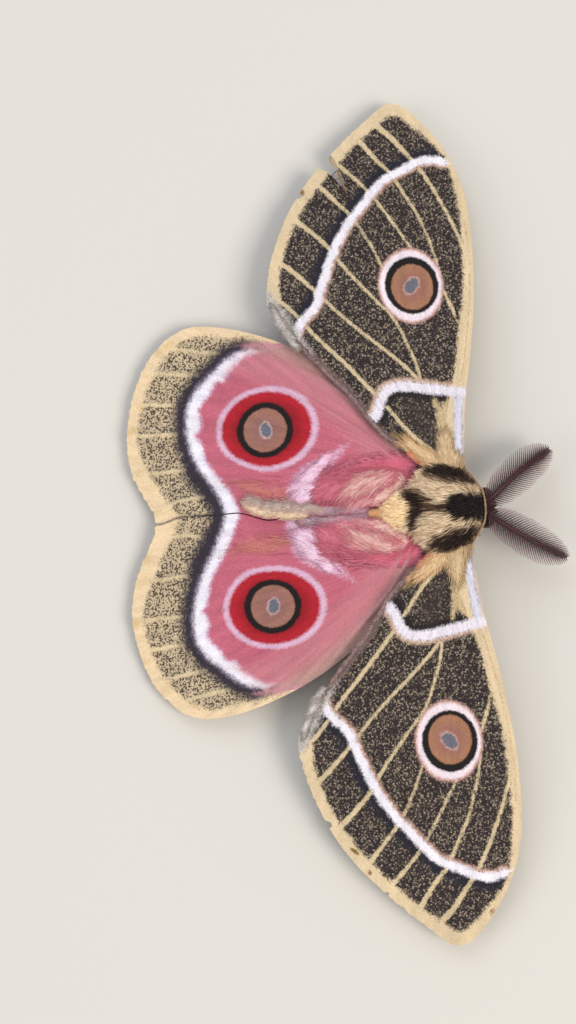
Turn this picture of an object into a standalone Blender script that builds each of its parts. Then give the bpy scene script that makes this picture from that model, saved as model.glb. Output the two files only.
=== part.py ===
# Zaddach's emperor moth, a male, life size, resting on a floor with its wings spread.
# The head points to -Y, the moth's own left side is +X, and +Z is up.
# Sizes below are in millimetres and become metres where a mesh is made.

import math
import random

import bmesh
import bpy
from mathutils import Vector
from mathutils.geometry import delaunay_2d_cdt

MM = 0.001
GAP = 0.3
SEED = 12

# Driving dimensions of the whole animal
HALF_SPAN = 70.8
THORAX_Y = -17.6
WING_THICKNESS = 0.55
VEIN_RISE = 0.28
VEIN_HALF_WIDTH = 0.42

# Heights above the floor
FOREWING_ROOT_Z = 9.6
FOREWING_TIP_Z = 3.2
HINDWING_RIM_Z = 2.0
WING_SPACE = 1.4

# Thorax and abdomen
THORAX_LENGTH = 13.6
THORAX_WIDTH = 14.4
THORAX_HEIGHT = 10.6
THORAX_MID_Z = 7.4
THORAX_MID_Y = 2.2
ABDOMEN_START_Y = 8.6
ABDOMEN_END_Y = 33.5
ABDOMEN_RADIUS = 3.45
ABDOMEN_RINGS = 7

# Head
HEAD_CENTRE = (0.0, -4.6, 6.0)
HEAD_RADII = (2.5, 2.1, 2.3)
EYE_RADIUS = 1.35
EYE_OUT = 2.45

# Antennae
ANTENNA_LENGTH = {"left": 14.6, "right": 15.3}
ANTENNA_SPLAY = {"left": 36.5, "right": 30.5}
ANTENNA_ROOT = (0.95, -5.3, 7.9)
ANTENNA_TIP_Z = 4.6
BRANCH_LENGTH = 3.9
BRANCH_PAIRS = 13
BRANCH_RADIUS = 0.27

# The forewing outline, from the root along the front edge, round the tip and back by the rear edge,
# as millimetres out from the midline and back from the middle of the thorax
FOREWING_OUTLINE = [
    (3.0, -0.6), (8.0, -1.9), (17.5, -3.2), (26.0, -4.9), (34.6, -6.3), (41.2, -6.9), (48.2, -7.0),
    (54.2, -6.5), (59.4, -5.0), (63.6, -2.9), (67.1, -0.4), (69.9, 2.2), (70.8, 4.6), (70.1, 6.5),
    (67.6, 9.5), (64.9, 12.6), (61.0, 16.6), (56.5, 20.6), (52.3, 23.4), (47.7, 25.6), (43.2, 27.2),
    (39.0, 28.1), (35.6, 28.1), (32.0, 26.0), (28.0, 22.9), (25.0, 20.5), (22.3, 18.0), (19.6, 15.6),
    (16.6, 13.7), (13.6, 11.6), (11.2, 9.0), (8.6, 6.0), (3.0, 3.4),
]
# The veins of the forewing, each towards the edge of the wing
FOREWING_VEINS = {
    "costa": [(4.0, 0.1), (12.0, -1.2), (26.0, -3.4), (41.0, -5.3), (54.0, -4.9), (63.5, -1.2), (69.4, 4.2)],
    "radius": [
        (4.4, 0.7), (13.0, 1.0), (18.0, 0.6), (25.0, -1.4), (30.8, -3.0), (35.8, -1.7), (41.5, -0.6), (47.8, 1.0),
        (53.6, 3.5), (58.3, 6.0), (63.3, 9.9), (65.8, 11.6),
    ],
    "radius_front": [
        (38.0, -5.1), (45.6, -4.9), (50.5, -3.1), (55.5, -0.9), (58.9, 1.0), (63.0, 3.9), (66.5, 7.0), (68.6, 8.3),
    ],
    "median_front": [(43.4, 2.9), (47.4, 5.2), (53.3, 8.7), (57.3, 11.9), (59.2, 13.7), (61.6, 16.0)],
    "median_back": [(40.4, 8.2), (44.5, 9.8), (49.2, 12.2), (53.7, 15.7), (55.8, 17.5), (58.0, 19.3)],
    "cubitus_front": [
        (21.2, 3.9), (27.7, 5.6), (33.0, 8.0), (38.1, 12.2), (43.3, 16.1), (47.8, 19.6), (49.8, 21.7), (51.6, 23.7),
    ],
    "cubitus_back": [(21.3, 4.2), (26.0, 8.5), (31.5, 14.4), (36.6, 19.0), (40.2, 22.4), (42.3, 24.6), (44.0, 26.9)],
    "anal": [
        (5.0, 1.5), (7.9, 2.4), (12.1, 6.1), (17.1, 9.9), (21.6, 13.4), (27.2, 18.2), (31.8, 22.1), (35.2, 24.9),
        (37.6, 27.9),
    ],
}
# A wedge torn from the left forewing, from the upper corner round its point to the lower corner
FOREWING_TEAR = [(62.0, 15.6), (59.1, 14.2), (55.4, 13.6), (58.0, 15.5), (59.6, 17.9)]

# The hindwing outline, from the root along the front edge, round the rim and back beside the midline
HINDWING_OUTLINE = [
    (4.2, 4.6), (9.0, 6.4), (16.0, 11.0), (21.6, 16.4), (25.8, 21.8), (28.6, 26.6), (30.6, 31.2), (32.2, 35.9),
    (32.9, 39.6), (32.9, 42.8), (31.8, 45.8), (29.6, 48.4), (26.5, 50.8), (22.6, 52.5), (18.7, 53.5),
    (15.6, 53.9), (12.0, 53.8), (8.8, 53.1), (6.0, 51.9), (3.8, 50.8), (1.6, 49.6), (0.28, 48.7),
    (0.28, 40.0), (0.28, 30.0), (0.28, 16.6), (0.55, 14.0), (1.2, 11.0), (2.4, 7.6),
]
HINDWING_VEINS = {
    "subcosta": [(5.0, 6.4), (14.0, 11.8), (22.0, 20.4), (26.8, 31.0), (28.4, 40.0), (29.4, 44.5), (30.3, 47.7)],
    "radius": [(5.0, 7.0), (12.0, 13.4), (19.4, 24.0), (23.6, 36.0), (25.0, 44.0), (26.2, 51.0)],
    "median_front": [(12.0, 13.4), (16.6, 22.4), (19.4, 36.0), (20.2, 46.0), (20.8, 53.0)],
    "median_back": [(10.4, 15.6), (13.0, 23.0), (15.0, 38.0), (15.3, 46.0), (15.6, 53.8)],
    "cubitus_front": [(10.4, 15.6), (9.8, 25.0), (9.2, 38.0), (8.9, 45.0), (9.1, 53.1)],
    "cubitus_back": [(4.8, 8.0), (5.4, 20.0), (4.2, 36.0), (3.0, 44.0), (2.6, 50.1)],
}
# How far each wing is swept back, in degrees, and how far it reaches out beside the other one
SWEEP = {"forewing_left": 0.6, "forewing_right": -0.6, "hindwing_left": -0.9, "hindwing_right": 0.9}
REACH = {"forewing_left": 1.007, "forewing_right": 0.993, "hindwing_left": 1.035, "hindwing_right": 0.965}
# The hindwings meet a little to the left of the midline behind: how far, at each place back
SEAM_MARKS = [(30.0, 0.0), (36.0, 1.6), (45.0, 1.7), (49.0, 0.8), (56.0, 0.2)]
SEAM_WIDTH = 8.0
RIDGE_MARKS = [(4.0, 7.8), (12.0, 8.7), (24.0, 8.3), (33.0, 6.6), (42.0, 4.2), (48.0, 2.9), (56.0, 2.2)]
RIDGE_WIDTH = 5.5

# Leg routes: hip, knee, ankle and toe of the left legs, all for the moth's left side
LEG_ROUTES = {
    "front": [(2.2, -2.0, 4.6), (6.2, -3.4, 5.6), (6.0, -4.6, 1.4), (6.4, -7.0, 0.24)],
    "middle": [(3.4, 2.0, 3.8), (9.6, 2.6, 5.8), (11.6, 4.4, 1.4), (13.0, 7.6, 0.24)],
    "hind": [(3.2, 6.0, 3.6), (8.2, 9.8, 4.8), (9.0, 15.0, 1.4), (9.6, 19.4, 0.24)],
}
LEG_RADII = [0.95, 0.7, 0.42, 0.3]
LEG_SIDES = 7

# Coat locks: the thorax's lie in rows from front to back, and the hindwings' lie back from their roots
THORAX_LOCK_ROWS = 8
THORAX_LOCK_REACH = 74.0
THORAX_LOCK_LENGTH = 4.8
THORAX_LOCK_WIDTH = 2.1
THORAX_LOCK_THICKNESS = 0.65
# Over this height the thorax's locks lie flatter, by this share
THORAX_LOCK_LEVEL = 12.4
THORAX_LOCK_PRESS = 0.42
HINDWING_LOCK_LENGTH = 8.0
HINDWING_LOCK_WIDTH = 1.7
HINDWING_LOCK_THICKNESS = 0.55
HINDWING_LOCK_RISE = 1.1
# Where each hindwing lock is rooted, and its angle out from straight back
HINDWING_LOCK_ROOTS = [
    (1.6, 12.4, 4), (3.4, 10.6, 14), (5.2, 10.2, 26), (7.2, 10.6, 40), (1.5, 16.6, 3), (3.4, 15.2, 10),
    (5.6, 14.4, 20), (8.0, 14.2, 32), (1.5, 21.4, 1), (3.6, 20.4, 7), (6.0, 19.4, 15), (8.6, 18.6, 24),
]
ABDOMEN_LOCKS = 9
ABDOMEN_LOCK_LENGTH = 3.2
# The fold beside the right hindwing's inner edge
FOLD_PLACE = 2.3
FOLD_WIDTH = 1.3
FOLD_RISE = 0.8
FOLD_START_Y = 15.0
FOLD_END_Y = 35.0


def clear_scene():
    for obj in list(bpy.data.objects):
        bpy.data.objects.remove(obj, do_unlink=True)


def new_collection(name):
    made = bpy.data.collections.new(name)
    bpy.context.scene.collection.children.link(made)
    return made


def linear(hex_colour):
    def one(part):
        value = int(part, 16) / 255
        return value / 12.92 if value <= 0.04045 else ((value + 0.055) / 1.055) ** 2.4

    return (one(hex_colour[0:2]), one(hex_colour[2:4]), one(hex_colour[4:6]), 1.0)


def material(name, hex_colour, roughness):
    made = bpy.data.materials.new(name)
    made.use_nodes = True
    shader = made.node_tree.nodes["Principled BSDF"]
    shader.inputs["Base Color"].default_value = linear(hex_colour)
    shader.inputs["Roughness"].default_value = roughness
    shader.inputs["Metallic"].default_value = 0.0
    made.diffuse_color = linear(hex_colour)
    return made


def placed(point):
    """A point measured from the thorax, in millimetres, as metres in the part's frame."""
    return Vector((point[0] * MM, (point[1] + THORAX_Y) * MM, point[2] * MM))


def mesh_object(name, collection, points, faces, finish=None, smooth=True):
    mesh = bpy.data.meshes.new(name)
    mesh.from_pydata([placed(p) for p in points], [], faces)
    mesh.update()
    made = bpy.data.objects.new(name, mesh)
    collection.objects.link(made)
    if finish is not None:
        mesh.materials.append(finish)
    if smooth:
        mesh.shade_smooth()
    return made


def face_outwards(obj):
    work = bmesh.new()
    work.from_mesh(obj.data)
    bmesh.ops.recalc_face_normals(work, faces=work.faces)
    if work.calc_volume(signed=True) < 0:
        bmesh.ops.reverse_faces(work, faces=work.faces)
    work.to_mesh(obj.data)
    work.free()


def spline(points, steps):
    """A Catmull-Rom curve through the points, with this many steps in each span."""
    known = [Vector(p) for p in points]
    run = [2 * known[0] - known[1], *known, 2 * known[-1] - known[-2]]
    found = []
    for i in range(1, len(run) - 2):
        a, b, c, d = run[i - 1 : i + 3]
        for k in range(steps):
            t = k / steps
            found.append(
                0.5 * (2 * b + (c - a) * t + (2 * a - 5 * b + 4 * c - d) * t * t + (3 * b - a - 3 * c + d) * t**3)
            )
    return [*found, known[-1]]


def even(points, count):
    """This many points at equal distances along a line of points."""
    lengths = [0.0]
    for a, b in zip(points, points[1:]):
        lengths.append(lengths[-1] + (b - a).length)
    found, at = [], 0
    for k in range(count):
        want = lengths[-1] * k / (count - 1)
        while at < len(points) - 2 and lengths[at + 1] < want:
            at += 1
        share = (want - lengths[at]) / max(lengths[at + 1] - lengths[at], 1e-9)
        found.append(points[at].lerp(points[at + 1], min(max(share, 0), 1)))
    return found


def tube(name, collection, path, radii, sides, finish=None, flatten=1.0):
    """A closed tapered tube along a path. Its rings are squashed up and down by flatten."""
    points, faces = [], []
    last = len(path) - 1
    side = None
    for i, p in enumerate(path):
        along = (path[min(i + 1, last)] - path[max(i - 1, 0)]).normalized()
        up = Vector((0, 0, 1)) if side is None else side.cross(along)
        side = along.cross(up).normalized()
        if side.length < 0.5:
            side = along.cross(Vector((0, 1, 0))).normalized()
        rise = side.cross(along).normalized()
        for k in range(sides):
            turn = math.tau * k / sides
            points.append(p + radii[i] * (math.cos(turn) * side + flatten * math.sin(turn) * rise))
    for i in range(last):
        for k in range(sides):
            a, b = i * sides + k, i * sides + (k + 1) % sides
            faces.append((a, b, b + sides, a + sides))
    faces.append(tuple(reversed(range(sides))))
    faces.append(tuple(last * sides + k for k in range(sides)))
    made = mesh_object(name, collection, points, faces, finish)
    face_outwards(made)
    return made


def ball(name, collection, centre, radii, segments, rings, finish=None, shape=None):
    """A closed ball that shape may remould, point by point, on the unit sphere."""
    work = bmesh.new()
    bmesh.ops.create_uvsphere(work, u_segments=segments, v_segments=rings, radius=1.0)
    for v in work.verts:
        unit = Vector((v.co.x, v.co.z, v.co.y))
        moved = shape(unit) if shape else unit
        v.co = placed([centre[k] + radii[k] * moved[k] for k in range(3)])
    mesh = bpy.data.meshes.new(name)
    work.to_mesh(mesh)
    work.free()
    made = bpy.data.objects.new(name, mesh)
    collection.objects.link(made)
    if finish is not None:
        mesh.materials.append(finish)
    mesh.shade_smooth()
    face_outwards(made)
    return made


def grown(obj, by, collection):
    """A copy of a closed mesh, swollen along its normals, to cut its neighbours with."""
    made = obj.copy()
    made.data = obj.data.copy()
    made.name = obj.name + "_cutter"
    collection.objects.link(made)
    work = bmesh.new()
    work.from_mesh(made.data)
    work.normal_update()
    for v in work.verts:
        v.co += v.normal * by * MM
    work.to_mesh(made.data)
    work.free()
    made.hide_render = True
    made.display_type = "WIRE"
    return made


def apply_boolean(obj, operation, other=None, collection=None, solver="EXACT"):
    cut = obj.modifiers.new(operation.lower(), "BOOLEAN")
    cut.operation = operation
    cut.solver = solver
    if collection is not None:
        cut.operand_type = "COLLECTION"
        cut.collection = collection
    else:
        cut.object = other
    graph = bpy.context.evaluated_depsgraph_get()
    made = bpy.data.meshes.new_from_object(obj.evaluated_get(graph))
    obj.modifiers.clear()
    obj.data = made


def surface_spread(faces):
    corners = [v.co for f in faces for v in f.verts]
    return sum(max(c[k] for c in corners) - min(c[k] for c in corners) for k in range(3))


def keep_largest(obj):
    """Leaves only the largest closed surface of a mesh."""
    work = bmesh.new()
    work.from_mesh(obj.data)
    unseen, surfaces = set(work.faces), []
    while unseen:
        stack, surface = [unseen.pop()], []
        while stack:
            face = stack.pop()
            surface.append(face)
            for other in {f for e in face.edges for f in e.link_faces} & unseen:
                unseen.discard(other)
                stack.append(other)
        surfaces.append(surface)
    surfaces.sort(key=surface_spread)
    bmesh.ops.delete(work, geom=[f for surface in surfaces[:-1] for f in surface], context="FACES")
    work.to_mesh(obj.data)
    work.free()


def join_pieces(obj, pieces):
    """One Boolean union of a node with its many small closed pieces."""
    apply_boolean(obj, "UNION", collection=pieces, solver="MANIFOLD")
    for piece in list(pieces.objects):
        bpy.data.objects.remove(piece, do_unlink=True)
    bpy.data.collections.remove(pieces)
    keep_largest(obj)
    obj.data.shade_smooth()


def flat_foot(obj, level=0.0):
    """Cuts off what reaches below the floor and closes the flat sole."""
    work = bmesh.new()
    work.from_mesh(obj.data)
    found = bmesh.ops.bisect_plane(
        work,
        geom=[*work.verts, *work.edges, *work.faces],
        plane_co=(0, 0, level * MM),
        plane_no=(0, 0, -1),
        clear_outer=True,
    )
    rim = [e for e in found["geom_cut"] if isinstance(e, bmesh.types.BMEdge)]
    bmesh.ops.holes_fill(work, edges=rim)
    bmesh.ops.recalc_face_normals(work, faces=work.faces)
    work.to_mesh(obj.data)
    work.free()


def forewing_height(x, y):
    """Middle of the forewing's membrane: it droops to the tip and is a little arched from front to back."""
    out = min(max((abs(x) - 5) / (HALF_SPAN - 5), 0), 1)
    chord = (y - 9) / 18
    return FOREWING_ROOT_Z + (FOREWING_TIP_Z - FOREWING_ROOT_Z) * out**1.1 - 0.5 * out * chord * chord


def eased(marks, y):
    """A value between marks of place and value, level at each mark."""
    if y <= marks[0][0]:
        return marks[0][1]
    for (y0, v0), (y1, v1) in zip(marks, marks[1:]):
        if y <= y1:
            share = (y - y0) / (y1 - y0)
            return v0 + (v1 - v0) * share * share * (3 - 2 * share)
    return marks[-1][1]


def hindwing_height(x, y):
    """The front of the hindwing lies close below the forewing, and it falls to the rim behind."""
    front = forewing_height(x, y) - WING_SPACE
    back = min(max((y - 19) / 34, 0), 1)
    panel = front + (HINDWING_RIM_Z - front) * back * back * (3 - 2 * back)
    level = panel + (eased(RIDGE_MARKS, y) - panel) * math.exp(-((x / RIDGE_WIDTH) ** 2))
    if x < 0 and FOLD_START_Y < y < FOLD_END_Y:
        fade = math.sin(math.pi * (y - FOLD_START_Y) / (FOLD_END_Y - FOLD_START_Y)) ** 0.5
        level += FOLD_RISE * fade * math.exp(-(((-x - FOLD_PLACE) / FOLD_WIDTH) ** 2))
    return level


def closest_share(p, a, b):
    run = b - a
    return min(max((p - a).dot(run) / max(run.length_squared, 1e-9), 0), 1)


def vein_rise(p, veins):
    """How much the top face stands up at a point, for the nearest vein."""
    best = 0.0
    for line in veins:
        for i, (a, b) in enumerate(zip(line, line[1:])):
            share = closest_share(p, a, b)
            gap = (p - a.lerp(b, share)).length
            along = (i + share) / (len(line) - 1)
            width = VEIN_HALF_WIDTH * (1.25 - 0.55 * along)
            best = max(best, (1 - gap / width) * (1.15 - 0.45 * along))
    return VEIN_RISE * best if best > 0 else 0.0


def inside(p, ring):
    found = False
    for a, b in zip(ring, [*ring[1:], ring[0]]):
        if (a.y > p.y) != (b.y > p.y) and p.x < (b.x - a.x) * (p.y - a.y) / (b.y - a.y) + a.x:
            found = not found
    return found


def distance_to(p, line, closed=False):
    pairs = zip(line, [*line[1:], line[0]]) if closed else zip(line, line[1:])
    return min((p - a.lerp(b, closest_share(p, a, b))).length for a, b in pairs)


def wing(name, collection, outline, veins, height, side, finish, tear=None, spacing=4.6, rim_points=92):
    """A wing membrane with raised veins. The top and bottom faces share one set of triangles."""
    rim = even(spline([*outline, outline[0]], 4), rim_points)[:-1]
    if tear:
        cut = [Vector(p) for p in tear]
        near = [min(range(len(rim)), key=lambda i: (rim[i] - p).length) for p in (cut[0], cut[-1])]
        rim = rim[: near[0]] + cut + rim[near[1] + 1 :]
    lines = []
    for line in veins.values():
        path = spline([Vector(p) for p in line], 6)
        count = max(4, round(sum((b - a).length for a, b in zip(path, path[1:])) / 5.5))
        lines.append([p for p in even(path, count) if inside(p, rim)])
    points, edges = list(rim), []
    faces = [list(range(len(rim)))]
    for line in lines:
        for shift in (-1, 0, 1):
            first = len(points)
            kept = []
            for i, p in enumerate(line):
                run = (line[min(i + 1, len(line) - 1)] - line[max(i - 1, 0)]).normalized()
                share = i / (len(line) - 1)
                moved = p + Vector((-run.y, run.x)) * shift * VEIN_HALF_WIDTH * (1.25 - 0.55 * share)
                if inside(moved, rim) and distance_to(moved, rim, closed=True) > 0.35:
                    kept.append(moved)
            points += kept
            edges += [(first + i, first + i + 1) for i in range(len(kept) - 1)]
    low = Vector((min(p.x for p in rim), min(p.y for p in rim)))
    high = Vector((max(p.x for p in rim), max(p.y for p in rim)))
    for row in range(int((high.y - low.y) / (spacing * 0.87)) + 1):
        for column in range(int((high.x - low.x) / spacing) + 1):
            p = low + Vector(((column + 0.5 * (row % 2)) * spacing, row * spacing * 0.87))
            if not inside(p, rim) or distance_to(p, rim, closed=True) < 1.4:
                continue
            if min(distance_to(p, line) for line in lines) > 1.3:
                points.append(p)
    flat, _, triangles, *_ = delaunay_2d_cdt(points, edges, faces, 1, 1e-3)
    top, bottom = [], []
    for p in flat:
        x, y, z = side * p.x * REACH[name], p.y + p.x * math.tan(math.radians(SWEEP[name])), height(side * p.x, p.y)
        if name.startswith("hindwing"):
            x += eased(SEAM_MARKS, p.y) * math.exp(-((x / SEAM_WIDTH) ** 2))
        top.append((x, y, z + WING_THICKNESS / 2 + vein_rise(p, lines)))
        bottom.append((x, y, z - WING_THICKNESS / 2))
    count = len(flat)
    every = [tuple(t) for t in triangles] + [tuple(count + k for k in reversed(t)) for t in triangles]
    sides = {pair for t in triangles for pair in zip(t, [*t[1:], t[0]])}
    for a, b in sorted(sides):
        if (b, a) not in sides:
            every += [(b, a, count + a), (b, count + a, count + b)]
    made = mesh_object(name, collection, top + bottom, every, finish, smooth=False)
    face_outwards(made)
    return made


def lock(collection, middle_line, normals, width, thick, lowest=None):
    """A flat, tapered lock of hair along a line, rooted at its first point and bent clear of what lies below."""
    wide = [0.62, 1.0, 0.74, 0.08]
    points, faces = [], []
    last = len(middle_line) - 1
    for i, (p, normal) in enumerate(zip(middle_line, normals)):
        along = (middle_line[min(i + 1, last)] - middle_line[max(i - 1, 0)]).normalized()
        side = along.cross(normal).normalized()
        half = side * width * wide[i] / 2
        deep = normal * thick * max(wide[i], 0.3) / 2
        ring = [p - half, p + deep, p + half, p - deep]
        lift = max(lowest(q) - q.z for q in ring) if lowest else 0.0
        if lift > 0 and i == 0:
            return
        points += [q + Vector((0, 0, max(lift, 0))) for q in ring]
    for i in range(last):
        for k in range(4):
            a, b = 4 * i + k, 4 * i + (k + 1) % 4
            faces.append((a, b, b + 4, a + 4))
    faces += [(3, 2, 1, 0), tuple(4 * last + k for k in range(4))]
    made = mesh_object("lock", collection, points, faces)
    face_outwards(made)


def over_wings(p):
    """The lowest height at which a lock of the thorax stays clear of the wings and their own locks."""
    x = abs(p.x)
    lowest = 0.0
    if x > 4.5 and -3.4 < p.y < 6.0 + 0.5 * x:
        lowest = forewing_height(x, p.y)
    if p.y > 5.0:
        locks = HINDWING_LOCK_RISE if p.y > 8.5 else 0.0
        lowest = max(lowest, hindwing_height(x, p.y) + locks)
    return lowest + WING_THICKNESS / 2 + VEIN_RISE + 1.2 * GAP


def thorax_shape(unit):
    """Broad where the wings join, narrower at the collar in front, and flatter below."""
    x, y, z = unit
    narrow = 1 - 0.42 * max(-y, 0) ** 2 - 0.22 * max(y, 0) ** 2
    round_out = 1 / max((abs(x) ** 2.6 + abs(y) ** 2.6 + abs(z) ** 2.6) ** (1 / 2.6), 1e-6)
    return Vector((x * round_out * narrow, y * round_out, z * round_out * (1.0 if z > 0 else 0.92)))


def thorax_point(share, angle):
    """A place on the thorax, by its share of the way from front to back and its angle from the top."""
    ring = math.sin(math.pi * share)
    turn = math.radians(angle)
    unit = Vector((math.sin(turn) * ring, -math.cos(math.pi * share), math.cos(turn) * ring))
    moved = thorax_shape(unit)
    return Vector(
        (
            moved.x * THORAX_WIDTH / 2,
            THORAX_MID_Y + moved.y * THORAX_LENGTH / 2,
            THORAX_MID_Z + moved.z * THORAX_HEIGHT / 2,
        )
    )


def pressed_down(p):
    """A point of a thorax lock, lowered where the lock would stand up above the coat."""
    above = max(p.z - THORAX_LOCK_LEVEL, 0)
    return p - Vector((0, 0, above * (1 - THORAX_LOCK_PRESS)))


def thorax_locks(collection, chance):
    """Rows of locks that lie back over the thorax and out over the roots of the wings."""
    for row in range(THORAX_LOCK_ROWS):
        share = 0.15 + 0.64 * row / (THORAX_LOCK_ROWS - 1)
        around = math.radians(THORAX_LOCK_REACH) * THORAX_WIDTH * 0.5 * math.sin(math.pi * share)
        count = 2 * round(around / (THORAX_LOCK_WIDTH * 0.86)) + row % 2
        for k in range(count):
            spread = (k + 0.5) / count * 2 - 1
            angle = THORAX_LOCK_REACH * spread + chance.uniform(-2, 2)
            root = thorax_point(share, angle)
            back = (thorax_point(share + 0.02, angle) - thorax_point(share - 0.02, angle)).normalized()
            out = (thorax_point(share, angle + 2) - thorax_point(share, angle - 2)).normalized()
            normal = out.cross(back).normalized()
            if normal.dot(root - Vector((0, THORAX_MID_Y, THORAX_MID_Z))) < 0:
                normal = -normal
            run = (back + out * 0.55 * spread).normalized()
            shorter = 1 - 0.3 * row / (THORAX_LOCK_ROWS - 1)
            length = THORAX_LOCK_LENGTH * shorter * chance.uniform(0.85, 1.15)
            rise = chance.uniform(0.75, 1.05)
            line, normals = [], []
            for step, lift in ((0.0, -0.5), (0.3, 0.4), (0.65, 0.75), (1.0, 0.95)):
                line.append(pressed_down(root + run * length * step + normal * lift * rise))
                normals.append(normal)
            width = THORAX_LOCK_WIDTH * chance.uniform(0.9, 1.1)
            lock(collection, line, normals, width, THORAX_LOCK_THICKNESS, over_wings)


def hindwing_locks(collection, side, chance):
    """Long hair that lies back over the root and the inner edge of a hindwing."""
    for x, y, angle in HINDWING_LOCK_ROOTS:
        turn = math.radians(angle + chance.uniform(-2, 2))
        length = HINDWING_LOCK_LENGTH * chance.uniform(0.85, 1.1)
        line, normals = [], []
        for step, lift in ((0.0, -0.12), (0.3, 0.42), (0.7, 0.62), (1.0, 0.8)):
            px = x + math.sin(turn) * length * step
            py = y + math.cos(turn) * length * step
            pz = hindwing_height(side * px, py) + WING_THICKNESS / 2 + lift
            line.append(Vector((side * px, py, pz)))
            normals.append(Vector((0, 0, 1)))
        lock(collection, line, normals, HINDWING_LOCK_WIDTH, HINDWING_LOCK_THICKNESS)


def abdomen_locks(collection, chance):
    """The tuft round the end of the abdomen."""
    rows = abdomen_path()
    at, radius = rows[-5]
    for k in range(ABDOMEN_LOCKS):
        turn = math.tau * (k + 0.5) / ABDOMEN_LOCKS
        normal = Vector((math.cos(turn), 0, math.sin(turn)))
        length = ABDOMEN_LOCK_LENGTH * chance.uniform(0.85, 1.1)
        line = []
        for step, lift in ((0.0, -0.35), (0.35, 0.05), (0.7, 0.1), (1.0, 0.05)):
            shrink = 1 - 0.28 * step
            p = at + normal * (radius * shrink + lift) + Vector((0, length * step, -0.25 * step))
            p.z = max(p.z, 0.7)
            line.append(p)
        lock(collection, line, [normal] * 4, 1.5, 0.5)


def abdomen_path():
    """Middle line and radius of each ring, with a waist between the segments."""
    rows = []
    steps = ABDOMEN_RINGS * 3
    for i in range(steps + 1):
        share = i / steps
        y = ABDOMEN_START_Y + (ABDOMEN_END_Y - ABDOMEN_START_Y) * share
        body = 1 - 0.16 * share - 0.80 * max(share - 0.62, 0) ** 1.5 / 0.38**1.5 * 0.78
        waist = 1.0 if i % 3 else 0.955
        radius = ABDOMEN_RADIUS * body * waist
        centre = 4.0 - 1.3 * share
        rows.append((Vector((0, y, centre)), radius))
    return rows


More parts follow.
